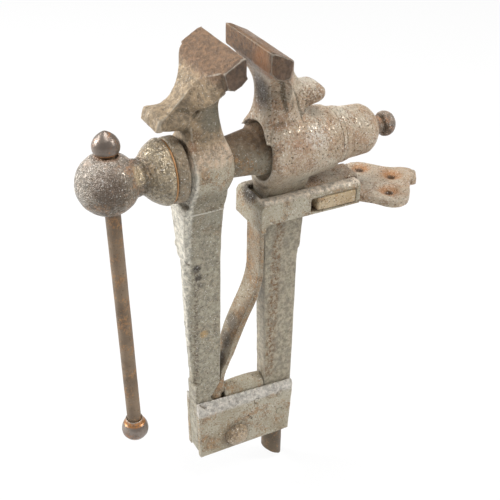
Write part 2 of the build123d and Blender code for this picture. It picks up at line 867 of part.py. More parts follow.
def countersunk_hole(x, y):
    """Through hole with a cone opening upward."""
    depth = plate_sink_depth
    top = plate_underside + plate_thickness
    hole = Pos(x, y, plate_underside + plate_thickness / 2) * Cylinder(plate_hole_radius, plate_thickness + 2)
    cone = Pos(x, y, top - depth / 2) * Cone(plate_hole_radius, plate_sink_radius, depth)
    rim = Pos(x, y, top + 0.5) * Cylinder(plate_sink_radius, 1)
    return hole + cone + rim


def make_screw():
    """Screw with its drilled ball head, neck, bell and plain-drawn threaded shank."""
    ball = Pos(0, ball_centre, screw_height) * Sphere(ball_radius)
    bell_start = bell_face - bell_length
    profile = [
        (ball_centre, neck_radius),
        (neck_bead_start, neck_radius),
        (neck_bead_start + 0.8, neck_radius + 0.8),
        (neck_bead_start + 2.0, neck_radius + 0.8),
        (neck_bead_start + 2.8, neck_radius),
        (bell_start, neck_radius),
        (bell_start, neck_radius + 1.4),
        (bell_start + 1.6, neck_radius + 1.8),
        (bell_start + 2.2, neck_radius + 3.2),
        (bell_start + 5.0, neck_radius + 6.0),
        (bell_start + 8.5, bell_radius - 2.2),
        (bell_face - 4.0, bell_radius - 0.3),
        (bell_face - 1.5, bell_radius),
        (bell_face, bell_radius - 0.6),
        (bell_face, screw_radius),
        (screw_tail - 2, screw_radius),
        (screw_tail, screw_radius - 2),
    ]
    hole = Pos(0, ball_centre + handle_offset, screw_height) * Cylinder(handle_hole_radius, 3 * ball_radius)
    return ball + turned(profile) - hole


def make_bell_washer():
    start = bell_face
    ring = rod_y(bell_radius - 1.4, start, start + bell_washer_thickness)
    return ring - rod_y(screw_radius + running_clearance, start - 1, start + 3)


def make_thrust_washer():
    """Thick flat washer between the bell and the crowned ring of the boss."""
    front = washer_rear - washer_thickness
    profile = [
        (front, washer_radius - 0.8),
        (front + 0.8, washer_radius),
        (washer_rear - 1.2, washer_radius),
        (washer_rear, washer_radius - 1.2),
    ]
    return turned(profile) - rod_y(screw_radius + running_clearance, front - 1, washer_rear + 1)


def make_screw_box():
    """Tube that holds the thread, shouldered and closed at the bench end."""
    shoulder = barrel_rear + box_collar_length
    profile = [
        (box_front, box_radius),
        (shoulder, box_radius),
        (shoulder, box_rear_radius),
        (box_rear_end - 9, box_rear_radius - 0.9),
        (box_rear_end - 5, box_rear_radius - 3.2),
        (box_rear_end - 1.5, box_rear_radius - 6.8),
        (box_rear_end, box_rear_radius - 9.6),
    ]
    box = turned(profile)
    box -= rod_y(box_bore_radius, box_front - 1, box_front + box_bore_depth)
    box -= rod_y(end_knob_stem_radius + seat_clearance, box_rear_end - 8, box_rear_end + 1)
    low = screw_height - box_radius - 1
    half = box_key_width / 2 + seat_clearance
    start = barrel_rear - box_key_length
    keyway = block((-half, half), (start - seat_clearance, barrel_rear), (low, low + 1 + box_key_height / 2))
    return box - keyway


def make_box_key():
    """Feather key that keeps the screw box from turning in the barrel."""
    middle = screw_height - box_radius
    half = box_key_height / 2 - seat_clearance
    return block((-box_key_width / 2, box_key_width / 2), (barrel_rear - box_key_length, barrel_rear),
                 (middle - half, middle + half))


def make_box_collar():
    """Ringed collar between the barrel and the shoulder of the screw box."""
    start = barrel_rear
    end = barrel_rear + box_collar_length
    big = box_collar_radius
    small = box_collar_radius - 0.8
    third = box_collar_length / 3
    profile = [
        (start, big - 0.6),
        (start + 0.6, big),
        (start + third - 0.5, big),
        (start + third, small),
        (start + third + 0.8, small),
        (start + third + 1.3, big - 0.3),
        (start + 2 * third - 0.2, big - 0.3),
        (start + 2 * third + 0.3, small),
        (start + 2 * third + 1.1, small),
        (start + 2 * third + 1.6, big - 0.8),
        (end, big - 1.2),
    ]
    return turned(profile) - rod_y(box_radius + seat_clearance, start - 1, end + 1)


def make_box_thread():
    """Threaded bush brazed inside the screw box, drawn plain at the thread's size."""
    start = box_front + 1
    end = box_front + box_bore_depth - 4
    bush = rod_y(box_bore_radius - seat_clearance, start, end)
    return bush - rod_y(box_thread_radius, start - 1, end + 1)


def make_end_knob():
    """Flattened round knob on a short neck, its stem set in the closed end of the screw box."""
    start = box_rear_end
    face = start + end_knob_neck_length
    half = end_knob_thickness / 2
    stem = rod_y(end_knob_stem_radius, start - 7, start + 1)
    neck = turned([
        (start, end_knob_neck_radius),
        (start + 1.4, end_knob_neck_radius),
        (start + 2.0, end_knob_neck_radius - 1.2),
        (face + 2, end_knob_neck_radius - 1.2),
    ])
    side = Plane.YZ * Pos(face + half - 0.4, screw_height) * Ellipse(half, end_knob_radius)
    upper = side & (Plane.YZ * Pos(face + half, screw_height + end_knob_radius) * Rectangle(40, 2 * end_knob_radius))
    ball = revolve(upper, axis=Axis((0, 0, screw_height), (0, 1, 0)))
    return stem + neck + ball


def along_handle(shape):
    """Place a shape drawn about Z on the leaning line of the handle."""
    return Pos(0, ball_centre + handle_offset, screw_height) * Rot(handle_lean, 0, 0) * shape


def turned_upright(profile):
    """Solid of revolution about Z from (radius, height) points."""
    points = [(0, profile[0][1])] + profile + [(0, profile[-1][1])]
    return revolve(side_face(points), axis=Axis.Z)


def knob_seat():
    """Height above the ball's centre where the upper knob comes to rest."""
    return ball_radius - 0.5 + knob_seat_gap


def make_handle_bar():
    top = knob_seat() + 6
    bottom = -lower_knob_drop
    bar = Pos(0, 0, (top + bottom) / 2) * Cylinder(handle_radius, top - bottom)
    return along_handle(bar)


def knob_bore(low, high):
    return Pos(0, 0, (low + high) / 2) * Cylinder(handle_radius + seat_clearance, high - low)


def make_upper_knob():
    """Pointed knob on top of the handle, resting on the ball."""
    low = knob_seat()
    radius = upper_knob_radius
    profile = [
        (radius - 2.2, low),
        (radius - 0.6, low + 1.6),
        (radius, low + 4.5),
        (radius - 0.4, low + 7.5),
        (radius - 2.2, low + 10.8),
        (radius - 4.8, low + 13.2),
        (radius - 7.2, low + 14.9),
        (radius - 8.9, low + 15.9),
    ]
    return along_handle(turned_upright(profile) - knob_bore(low - 1, low + 6 + seat_clearance))


def make_lower_knob():
    """Round knob at the foot of the handle, dished on top around a short neck."""
    middle = -lower_knob_drop
    radius = lower_knob_radius
    profile = [
        (radius - 6.5, middle - 8.0),
        (radius - 2.6, middle - 6.4),
        (radius - 0.5, middle - 3.2),
        (radius, middle),
        (radius - 0.5, middle + 3.2),
        (radius - 1.6, middle + 5.6),
        (radius - 2.6, middle + 6.6),
        (radius - 3.4, middle + 7.0),
        (radius - 3.4, middle + 10.0),
    ]
    return along_handle(turned_upright(profile) - knob_bore(middle - seat_clearance, middle + 12))


pieces = {
    "rear_leg": make_rear_leg(),
    "rear_jaw_plate": jaw_plate(rear_jaw_face, 1),
    "front_leg": make_front_leg(),
    "front_jaw_plate": opened_to_rest(jaw_plate(closed_front_face, -1)),
    "guard_sleeve": make_sleeve(),
    "right_cheek": make_cheek(1),
    "left_cheek": make_cheek(-1),
    "foot_spacer": make_spacer(),
    "pivot_rivet": make_pivot_rivet(),
    "pivot_rove": make_pivot_rove(),
    "cheek_rivets": make_cheek_rivets(),
    "foot_peg": make_foot_peg(),
    "leaf_spring": make_leaf_spring(),
    "mounting_strap": make_mounting_strap(),
    "strap_key": make_strap_key(),
    "bench_plate": make_bench_plate(),
    "screw": make_screw(),
    "bell_washer": make_bell_washer(),
    "thrust_washer": make_thrust_washer(),
    "screw_box": make_screw_box(),
    "box_key": make_box_key(),
    "box_collar": make_box_collar(),
    "box_thread": make_box_thread(),
    "box_end_knob": make_end_knob(),
    "handle_bar": make_handle_bar(),
    "handle_upper_knob": make_upper_knob(),
    "handle_lower_knob": make_lower_knob(),
}

os.makedirs("parts", exist_ok=True)
for name, shape in pieces.items():
    export_step(shape, f"parts/{name}.step")
print(f"jaws closed at {-swing_closed:.3f} degrees, open at {swing_open:.3f} degrees")
print(f"pivot at y {pivot_y:.3f}, z {pivot_height:.3f}")
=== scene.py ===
import logging
import math
from dataclasses import dataclass, replace
from enum import Enum

import bmesh
import bpy
import numpy as np
from mathutils import Matrix, Vector, noise


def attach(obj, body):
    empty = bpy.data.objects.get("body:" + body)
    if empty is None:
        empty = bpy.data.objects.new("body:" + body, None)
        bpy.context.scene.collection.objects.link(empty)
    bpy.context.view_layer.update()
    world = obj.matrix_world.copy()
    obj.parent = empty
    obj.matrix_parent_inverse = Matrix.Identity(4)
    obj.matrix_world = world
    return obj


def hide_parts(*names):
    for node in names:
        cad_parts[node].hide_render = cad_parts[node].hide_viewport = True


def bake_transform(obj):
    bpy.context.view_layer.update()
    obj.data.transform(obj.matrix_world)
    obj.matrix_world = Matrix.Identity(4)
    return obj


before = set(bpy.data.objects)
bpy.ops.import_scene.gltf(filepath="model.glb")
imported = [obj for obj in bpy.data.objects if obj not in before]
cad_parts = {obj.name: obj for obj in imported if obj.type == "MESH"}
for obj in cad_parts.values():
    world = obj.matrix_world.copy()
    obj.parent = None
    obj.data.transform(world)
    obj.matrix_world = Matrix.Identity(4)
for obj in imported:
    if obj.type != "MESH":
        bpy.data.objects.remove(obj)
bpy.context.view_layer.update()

LOG = logging.getLogger("leg_vise")
MM = 0.001
MERGE = 0.002 * MM
Colour = tuple[int, int, int]
Point = tuple[float, float, float]
Socket = bpy.types.NodeSocket


class Body(str, Enum):
    """The five bodies of the vise that move against each other."""

    REAR_FRAME = "rear_frame"
    SWINGING_LEG = "swinging_leg"
    THRUST_STACK = "thrust_stack"
    MAIN_SCREW = "main_screw"
    HANDLE = "handle"


def linear(colour: Colour) -> tuple[float, float, float, float]:
    """Turn a colour as it is seen on a screen into the shader's linear values.

    Args:
        colour: Red, green and blue from 0 to 255.

    Returns:
        Linear red, green and blue with an alpha of 1.
    """
    parts = [c / 255 for c in colour]
    flat = [p / 12.92 if p <= 0.04045 else ((p + 0.055) / 1.055) ** 2.4 for p in parts]
    return (flat[0], flat[1], flat[2], 1.0)


def put_in_scene(name: str, data: bpy.types.ID) -> bpy.types.Object:
    """Make an object and link it to the scene.

    Args:
        name: The object's name.
        data: Its mesh, camera or light.

    Returns:
        The object.
    """
    made = bpy.data.objects.new(name, data)
    bpy.context.scene.collection.objects.link(made)
    return made


class NodeSheet:
    """Short ways to lay out and join the nodes of one shader tree."""

    def __init__(self, tree: bpy.types.NodeTree) -> None:
        """Start on an existing node tree."""
        self.tree = tree

    def add(self, kind: str, **settings: object) -> bpy.types.Node:
        """Add a node.

        Args:
            kind: Blender's name for the node.
            settings: Properties to set on it.

        Returns:
            The new node.
        """
        node = self.tree.nodes.new(kind)
        for name, value in settings.items():
            setattr(node, name, value)
        return node

    def feed(self, socket: Socket, value: object) -> None:
        """Join a socket to another one, or set its plain value.

        Args:
            socket: The input to fill.
            value: An output socket, or a plain value.
        """
        if isinstance(value, Socket):
            self.tree.links.new(value, socket)
        else:
            socket.default_value = value

    def math(self, operation: str, a: object, b: object = 0.0, c: float = 0.0) -> Socket:
        """Add a Math node.

        Args:
            operation: Blender's name for the sum.
            a: First value or socket.
            b: Second value or socket.
            c: Third value.

        Returns:
            Its result.
        """
        node = self.add("ShaderNodeMath", operation=operation)
        self.feed(node.inputs[0], a)
        self.feed(node.inputs[1], b)
        self.feed(node.inputs[2], c)
        return node.outputs[0]

    def plus(self, a: object, b: object) -> Socket:
        """Add two values."""
        return self.math("ADD", a, b)

    def minus(self, a: object, b: object) -> Socket:
        """Take the second value from the first."""
        return self.math("SUBTRACT", a, b)

    def times(self, a: object, b: object) -> Socket:
        """Multiply two values."""
        return self.math("MULTIPLY", a, b)

    def scaled(self, value: object, factor: float, offset: float) -> Socket:
        """Multiply a value by a factor and add an offset."""
        return self.math("MULTIPLY_ADD", value, factor, offset)

    def mix(self, share: object, a: object, b: object) -> Socket:
        """Mix two colours.

        Args:
            share: How much of the second colour shows, from 0 to 1.
            a: First colour.
            b: Second colour.

        Returns:
            The mixed colour.
        """
        node = self.add("ShaderNodeMix", data_type="RGBA", clamp_factor=True)
        self.feed(node.inputs[0], share)
        self.feed(node.inputs[6], a)
        self.feed(node.inputs[7], b)
        return node.outputs[2]

    def blend_values(self, share: object, a: object, b: object) -> Socket:
        """Mix two numbers.

        Args:
            share: How much of the second number counts, from 0 to 1.
            a: First number.
            b: Second number.

        Returns:
            The mixed number.
        """
        node = self.add("ShaderNodeMix", data_type="FLOAT", clamp_factor=True)
        self.feed(node.inputs[0], share)
        self.feed(node.inputs[2], a)
        self.feed(node.inputs[3], b)
        return node.outputs[0]

    def cloud(
        self, place: object, scale: object, detail: float = 2.0, roughness: float = 0.5, twist: float = 0.0
    ) -> Socket:
        """Add soft noise.

        Args:
            place: Coordinates, in metres.
            scale: Lumps per metre.
            detail: Number of finer layers.
            roughness: Weight of the finer layers.
            twist: How far the lumps are distorted.

        Returns:
            The noise value from 0 to 1.
        """
        node = self.add("ShaderNodeTexNoise", noise_dimensions="3D")
        self.feed(node.inputs["Vector"], place)
        self.feed(node.inputs["Scale"], scale)
        self.feed(node.inputs["Detail"], detail)
        self.feed(node.inputs["Roughness"], roughness)
        self.feed(node.inputs["Distortion"], twist)
        return node.outputs["Fac"]

    def step(self, value: object, low: object, high: object) -> Socket:
        """Rise smoothly from 0 to 1.

        Args:
            value: The value to look at.
            low: Where the result is 0.
            high: Where the result is 1; it may lie below low.

        Returns:
            The result.
        """
        node = self.add("ShaderNodeMapRange", interpolation_type="SMOOTHSTEP")
        self.feed(node.inputs["Value"], value)
        self.feed(node.inputs["From Min"], low)
        self.feed(node.inputs["From Max"], high)
        return node.outputs["Result"]


class Effects:
    """Node groups shared by the finishes, each built once."""

    def __init__(self) -> None:
        """Build the four groups."""
        self.rust = self._rust()
        self.speckle = self._speckle()
        self.wear = self._wear()
        self.skin = self._skin()

    @staticmethod
    def _open(name: str, numbers: dict[str, float], outputs: tuple[str, ...]) -> tuple[NodeSheet, dict, object]:
        """Start a group.

        Args:
            name: The group's name.
            numbers: Number inputs with their default values.
            outputs: Names of its value outputs.

        Returns:
            The sheet, its input sockets by name and the output node.
        """
        tree = bpy.data.node_groups.new(name, "ShaderNodeTree")
        tree.interface.new_socket("Place", in_out="INPUT", socket_type="NodeSocketVector")
        for label, default in numbers.items():
            socket = tree.interface.new_socket(label, in_out="INPUT", socket_type="NodeSocketFloat")
            socket.default_value = default
        for label in outputs:
            tree.interface.new_socket(label, in_out="OUTPUT", socket_type="NodeSocketFloat")
        sheet = NodeSheet(tree)
        start = sheet.add("NodeGroupInput")
        end = sheet.add("NodeGroupOutput")
        return sheet, {s.name: s for s in start.outputs}, end

    def _rust(self) -> bpy.types.NodeTree:
        """Uneven patches of rust with a drift from dark to bright.

        Returns:
            The group.
        """
        sheet, given, end = self._open("rust_patches", {"Scale": 120.0, "Spread": 0.5}, ("Mask", "Tone"))
        wide = sheet.cloud(given["Place"], given["Scale"], 3.0, 0.55, 0.2)
        grain = sheet.cloud(given["Place"], sheet.times(given["Scale"], 8.0), 4.0, 0.75)
        both = sheet.plus(sheet.times(wide, 0.45), sheet.times(grain, 0.55))
        edge = sheet.scaled(given["Spread"], -0.4, 0.72)
        mask = sheet.step(both, sheet.minus(edge, 0.035), sheet.plus(edge, 0.035))
        tone = sheet.cloud(given["Place"], sheet.times(given["Scale"], 3.1), 5.0, 0.7)
        sheet.feed(end.inputs["Mask"], mask)
        sheet.feed(end.inputs["Tone"], sheet.step(tone, 0.36, 0.64))
        return sheet.tree

    def _speckle(self) -> bpy.types.NodeTree:
        """Fine dark specks and pale glints painted as highlights.

        Returns:
            The group.
        """
        sheet, given, end = self._open("speckle", {"Scale": 900.0, "Specks": 0.4, "Glints": 0.3}, ("Dark", "Bright"))
        fine = sheet.cloud(given["Place"], given["Scale"], 2.0, 0.6)
        low = sheet.scaled(given["Specks"], 0.22, 0.30)
        dark = sheet.minus(1.0, sheet.step(fine, sheet.minus(low, 0.05), low))
        other = sheet.cloud(given["Place"], sheet.times(given["Scale"], 1.37), 3.0, 0.75)
        high = sheet.scaled(given["Glints"], -0.22, 0.70)
        bright = sheet.step(other, high, sheet.plus(high, 0.05))
        sheet.feed(end.inputs["Dark"], dark)
        sheet.feed(end.inputs["Bright"], bright)
        return sheet.tree

    def _wear(self) -> bpy.types.NodeTree:
        """Rubbed ridges, and hollows darkened by dirt and painted shade, from the wear stored on each piece.

        Returns:
            The group.
        """
        sheet, given, end = self._open("rubbed_edges_and_hollow_shade", {"Scale": 260.0, "Reach": 0.5}, ("Ridge", "Hollow"))
        stored = sheet.add("ShaderNodeAttribute", attribute_name="wear", attribute_type="GEOMETRY").outputs["Fac"]
        broken = sheet.cloud(given["Place"], given["Scale"], 4.0, 0.65)
        uneven = sheet.scaled(broken, 0.9, -0.45)
        lifted = sheet.plus(stored, sheet.times(uneven, 0.5))
        start = sheet.minus(0.85, sheet.times(given["Reach"], 0.5))
        sheet.feed(end.inputs["Ridge"], sheet.step(lifted, start, sheet.plus(start, 0.35)))
        sunk = sheet.times(lifted, -1.0)
        sheet.feed(end.inputs["Hollow"], sheet.step(sunk, 0.12, 0.7))
        return sheet.tree

    def _skin(self) -> bpy.types.NodeTree:
        """Height of a hammered and pitted surface.

        Returns:
            The group.
        """
        sheet, given, end = self._open("hammered_skin", {"Scale": 130.0, "Dents": 0.5, "Pits": 0.5}, ("Height",))
        dents = sheet.cloud(given["Place"], given["Scale"], 2.0, 0.45)
        pits = sheet.cloud(given["Place"], sheet.times(given["Scale"], 5.5), 4.0, 0.7)
        deep = sheet.step(pits, 0.30, 0.62)
        height = sheet.plus(sheet.times(dents, given["Dents"]), sheet.times(deep, given["Pits"]))
        sheet.feed(end.inputs["Height"], height)
        return sheet.tree


CRUMB_SCALE = 420.0
CLOUD_SCALE = 160.0
WASH_SHADE = 0.66
WASH_MOTTLE = 0.75
SOLID_CORE = 0.4
SPAN_FADE = 3 * MM
SPECK_ROUGHNESS = 0.9
GLINT_ROUGHNESS = 0.3
RUST_LIFT = 0.15
SPECK_DEPTH = 0.2
BUMP_STRENGTH = 0.9


@dataclass(frozen=True)
class Band:
    """A stripe of another colour across a piece.

    Args:
        middle: A point on the stripe's middle plane, in millimetres.
        across: The direction across the stripe.
        half_width: Half the stripe's width, in millimetres.
        colour: The stripe's colour.
        strength: How solid it is, from 0 to 1.
        cover: How much of its area is filled, from 0 to 1.
        span: Lowest and highest place of the stripe along Z, in millimetres.
    """

    middle: Point
    across: Point
    half_width: float
    colour: Colour
    strength: float = 0.8
    cover: float = 0.9
    span: tuple[float, float] | None = None


@dataclass(frozen=True)
class Spot:
    """A round stain or mark.

    Args:
        middle: Its centre, in millimetres.
        radius: Its radius, in millimetres.
        colour: Its colour.
        strength: How solid it is, from 0 to 1.
        cover: How much of its area is filled, from 0 to 1.
    """

    middle: Point
    radius: float
    colour: Colour
    strength: float = 0.8
    cover: float = 0.9


@dataclass(frozen=True)
class Wash:
    """A stain that rises from nothing at one point to full strength further on.

    Args:
        start: Where it begins, in millimetres.
        along: The direction it grows in.
        reach: How far it takes to reach full strength, in millimetres.
        colour: Its colour.
        strength: How solid it becomes, from 0 to 1.
        clears: How much it hides the specks, from 0 to 1.
    """

    start: Point
    along: Point
    reach: float
    colour: Colour
    strength: float = 0.7
    clears: float = 0.0


@dataclass(frozen=True)
class IronFinish:
    """Worn paint or bare iron with rust, specks, rubbed edges, and dirt with painted shade in the hollows."""

    slot: str
    skin: Colour
    skin_shade: Colour
    rust_dark: Colour = (104, 80, 56)
    rust_bright: Colour = (168, 128, 84)
    edge: Colour = (206, 199, 184)
    dirt_and_shade: Colour = (96, 84, 64)
    glint: Colour = (238, 236, 230)
    speck: Colour = (92, 76, 56)
    drift_scale: float = 38.0
    rust_scale: float = 95.0
    rust_spread: float = 0.52
    rust_share: float = 0.75
    specks: float = 0.42
    speck_share: float = 0.75
    glints: float = 0.42
    glint_share: float = 0.7
    speck_scale: float = 620.0
    edge_reach: float = 0.3
    edge_share: float = 0.35
    dirt_and_shade_share: float = 0.75
    rough_skin: float = 0.48
    rough_rust: float = 0.82
    metal: float = 0.0
    dent_scale: float = 150.0
    dents: float = 0.6
    pits: float = 0.8
    bump_depth: float = 0.55
    washes: tuple[Wash, ...] = ()
    bands: tuple[Band, ...] = ()
    spots: tuple[Spot, ...] = ()

    def stained(self, *stains: Wash | Band | Spot) -> "IronFinish":
        """Lay stains over this finish.

        Args:
            stains: Washes, bands and spots.

        Returns:
            The finish with them added.
        """
        return replace(
            self,
            washes=self.washes + tuple(s for s in stains if isinstance(s, Wash)),
            bands=self.bands + tuple(s for s in stains if isinstance(s, Band)),
            spots=self.spots + tuple(s for s in stains if isinstance(s, Spot)),
        )

    def material(self, name: str, effects: Effects, shift: Point = (0.0, 0.0, 0.0)) -> bpy.types.Material:
        """Build the finish as a material.

        Args:
            name: The material's name.
            effects: The shared node groups.
            shift: Moves the pattern, so that two pieces differ, in metres.

        Returns:
            The material.
        """
        made = bpy.data.materials.new(name)
        made.use_nodes = True
        made.node_tree.nodes.clear()
        sheet = NodeSheet(made.node_tree)
        shader = sheet.add("ShaderNodeBsdfPrincipled")
        sheet.tree.links.new(shader.outputs[0], sheet.add("ShaderNodeOutputMaterial").inputs["Surface"])
        place = sheet.add("ShaderNodeTexCoord").outputs["Object"]
        moved = sheet.add("ShaderNodeMapping")
        sheet.feed(moved.inputs["Vector"], place)
        moved.inputs["Location"].default_value = shift
        here = moved.outputs["Vector"]
        rust = self._group(sheet, effects.rust, here, Scale=self.rust_scale, Spread=self.rust_spread)
        specks = self._group(
            sheet, effects.speckle, here, Scale=self.speck_scale, Specks=self.specks, Glints=self.glints
        )
        wear = self._group(sheet, effects.wear, here, Reach=self.edge_reach)
        skin = self._group(sheet, effects.skin, here, Scale=self.dent_scale, Dents=self.dents, Pits=self.pits)
        drift = sheet.step(sheet.cloud(here, self.drift_scale, 4.0, 0.55, 0.3), 0.34, 0.66)
        colour = sheet.mix(drift, linear(self.skin), linear(self.skin_shade))
        rusty = sheet.mix(rust["Tone"], linear(self.rust_dark), linear(self.rust_bright))
        rust_mask = sheet.times(rust["Mask"], self.rust_share)
        colour = sheet.mix(rust_mask, colour, rusty)
        colour, shown = self._stains(sheet, place, here, rust["Tone"], colour)
        # Hollows darken with dirt and painted shade.
        hollow = sheet.times(wear["Hollow"], self.dirt_and_shade_share)
        colour = sheet.mix(hollow, colour, linear(self.dirt_and_shade))
        ridge = sheet.times(wear["Ridge"], self.edge_share)
        colour = sheet.mix(ridge, colour, linear(self.edge))
        dark = sheet.times(sheet.times(specks["Dark"], shown), self.speck_share)
        colour = sheet.mix(dark, colour, linear(self.speck))
        # Pale glints: painted highlights mixed into the base colour.
        bright = sheet.times(sheet.times(specks["Bright"], shown), self.glint_share)
        colour = sheet.mix(bright, colour, linear(self.glint))
        sheet.feed(shader.inputs["Base Color"], colour)
        rough = sheet.blend_values(rust_mask, self.rough_skin, self.rough_rust)
        rough = sheet.blend_values(dark, rough, SPECK_ROUGHNESS)
        rough = sheet.blend_values(bright, rough, GLINT_ROUGHNESS)
        sheet.feed(shader.inputs["Roughness"], rough)
        if self.metal:
            clean = sheet.minus(1.0, rust_mask)
            sheet.feed(shader.inputs["Metallic"], sheet.times(clean, self.metal))
        height = sheet.plus(skin["Height"], sheet.times(rust["Mask"], RUST_LIFT))
        height = sheet.minus(height, sheet.times(specks["Dark"], SPECK_DEPTH))
        bump = sheet.add("ShaderNodeBump")
        bump.inputs["Distance"].default_value = self.bump_depth * MM
        bump.inputs["Strength"].default_value = BUMP_STRENGTH
        sheet.feed(bump.inputs["Height"], height)
        sheet.feed(shader.inputs["Normal"], bump.outputs["Normal"])
        return made

    @staticmethod
    def _group(sheet: NodeSheet, tree: bpy.types.NodeTree, place: object, **values: float) -> dict:
        """Place a shared group.

        Args:
            sheet: The material's sheet.
            tree: The group.
            place: Coordinates.
            values: Its number inputs by name.

        Returns:
            Its outputs by name.
        """
        node = sheet.add("ShaderNodeGroup")
        node.node_tree = tree
        sheet.feed(node.inputs["Place"], place)
        for name, value in values.items():
            node.inputs[name].default_value = value
        return {s.name: s for s in node.outputs}

    def _stains(
        self, sheet: NodeSheet, place: object, here: object, tone: object, colour: object
    ) -> tuple[Socket, object]:
        """Lay the washes, stripes and spots over a colour.

        Args:
            sheet: The material's sheet.
            place: Object coordinates.
            here: The same, moved for this piece.
            tone: A mottle that darkens the washes unevenly.
            colour: The colour below.

        Returns:
            The colour with them on it, and how much the specks still show.
        """
        shown: object = 1.0
        if not (self.washes or self.bands or self.spots):
            return colour, shown
        crumbs = sheet.cloud(here, CRUMB_SCALE, 4.0, 0.7)
        cloudy = sheet.scaled(sheet.cloud(here, CLOUD_SCALE, 5.0, 0.65), 1.2, -0.6)
        for wash in self.washes:
            along = self._along(sheet, place, wash.start, wash.along)
            share = sheet.step(sheet.plus(sheet.math("DIVIDE", along, wash.reach * MM), cloudy), 0.0, 1.0)
            darker = tuple(round(c * WASH_SHADE) for c in wash.colour)
            mottled = sheet.mix(sheet.times(tone, WASH_MOTTLE), linear(darker), linear(wash.colour))
            colour = sheet.mix(sheet.times(share, wash.strength), colour, mottled)
            if wash.clears:
                left = sheet.scaled(share, -wash.clears, 1.0)
                shown = sheet.times(left, shown)
        for band in self.bands:
            far = sheet.math("ABSOLUTE", self._along(sheet, place, band.middle, band.across))
            inside = sheet.step(far, band.half_width * MM, band.half_width * SOLID_CORE * MM)
            if band.span:
                height = self._along(sheet, place, (0, 0, sum(band.span) / 2), (0, 0, 1))
                half = (band.span[1] - band.span[0]) / 2 * MM
                within = sheet.step(sheet.math("ABSOLUTE", height), half, half - SPAN_FADE)
                inside = sheet.times(inside, within)
            colour = self._cover(sheet, inside, crumbs, band, colour)
        for spot in self.spots:
            away = sheet.add("ShaderNodeVectorMath", operation="DISTANCE")
            sheet.feed(away.inputs[0], place)
            away.inputs[1].default_value = [m * MM for m in spot.middle]
            inside = sheet.step(away.outputs["Value"], spot.radius * MM, spot.radius * SOLID_CORE * MM)
            colour = self._cover(sheet, inside, crumbs, spot, colour)
        return colour, shown

    @staticmethod
    def _cover(
        sheet: NodeSheet, inside: object, crumbs: object, stain: Band | Spot, colour: object
    ) -> Socket:
        """Lay a stripe or a spot over a colour, broken into crumbs.

        Args:
            sheet: The material's sheet.
            inside: 1 inside the stain and 0 outside it.
            crumbs: Noise that breaks it up.
            stain: The stripe or spot.
            colour: The colour below.

        Returns:
            The colour with the stain on it.
        """
        edge = 0.66 - 0.3 * stain.cover
        ragged = sheet.step(crumbs, edge - 0.07, edge + 0.07)
        share = sheet.times(sheet.times(inside, ragged), stain.strength)
        return sheet.mix(share, colour, linear(stain.colour))

    @staticmethod
    def _along(sheet: NodeSheet, place: object, start: Point, direction: Point) -> Socket:
        """Measure how far a surface point lies beyond a start point.

        Args:
            sheet: The material's sheet.
            place: Object coordinates.
            start: The start point, in millimetres.
            direction: The direction to measure in.

        Returns:
            The distance in metres.
        """
        away = sheet.add("ShaderNodeVectorMath", operation="SUBTRACT")
        sheet.feed(away.inputs[0], place)
        away.inputs[1].default_value = [m * MM for m in start]
        along = sheet.add("ShaderNodeVectorMath", operation="DOT_PRODUCT")
        sheet.feed(along.inputs[0], away.outputs["Vector"])
        along.inputs[1].default_value = Vector(direction).normalized()
        return along.outputs["Value"]


@dataclass(frozen=True)
class Bead:
    """A thin raised line round a piece, where a plane cuts it.

    Args:
        middle: A point on the plane, in millimetres.
        across: The plane's direction, of length 1.
        half_width: Half the line's width, in millimetres.
        height: How far it stands up, in millimetres; below 0 it is a groove.
    """

    middle: Point
    across: Point
    half_width: float
    height: float


@dataclass(frozen=True)
class Region:
    """An oval part of space.

    Args:
        middle: Its centre, in millimetres.
        radii: Its half lengths along X, Y and Z, in millimetres.
    """

    middle: Point
    radii: Point


@dataclass(frozen=True)
class Zone(Region):
    """A region that is smoothed more than the rest.

    Args:
        passes: Smoothing passes.
    """

    passes: int


@dataclass(frozen=True)
class Pull(Region):
    """A region that is drawn out in one direction.

    Args:
        move: How far its centre moves, in millimetres.
    """

    move: Point


@dataclass(frozen=True)
class Lump(Region):
    """A lump that is forged into a piece."""


@dataclass(frozen=True)
class Surface:
    """How a piece is worked.

    Args:
        grain: Size of the mesh's cells, in millimetres.
        rounding: Smoothing passes over the whole surface.
        dents: Depth of the hammered dents, in millimetres.
        dent_size: Their width, in millimetres.
        fillet: Further passes that fill only the inner corners.
        zones: Regions that are smoothed more.
        beads: Raised or sunk lines round it.
        pulls: Regions that are drawn out.
    """

    grain: float = 0.7
    rounding: int = 3
    dents: float = 0.2
    dent_size: float = 9.0
    fillet: int = 0
    zones: tuple[Zone, ...] = ()
    beads: tuple[Bead, ...] = ()
    pulls: tuple[Pull, ...] = ()


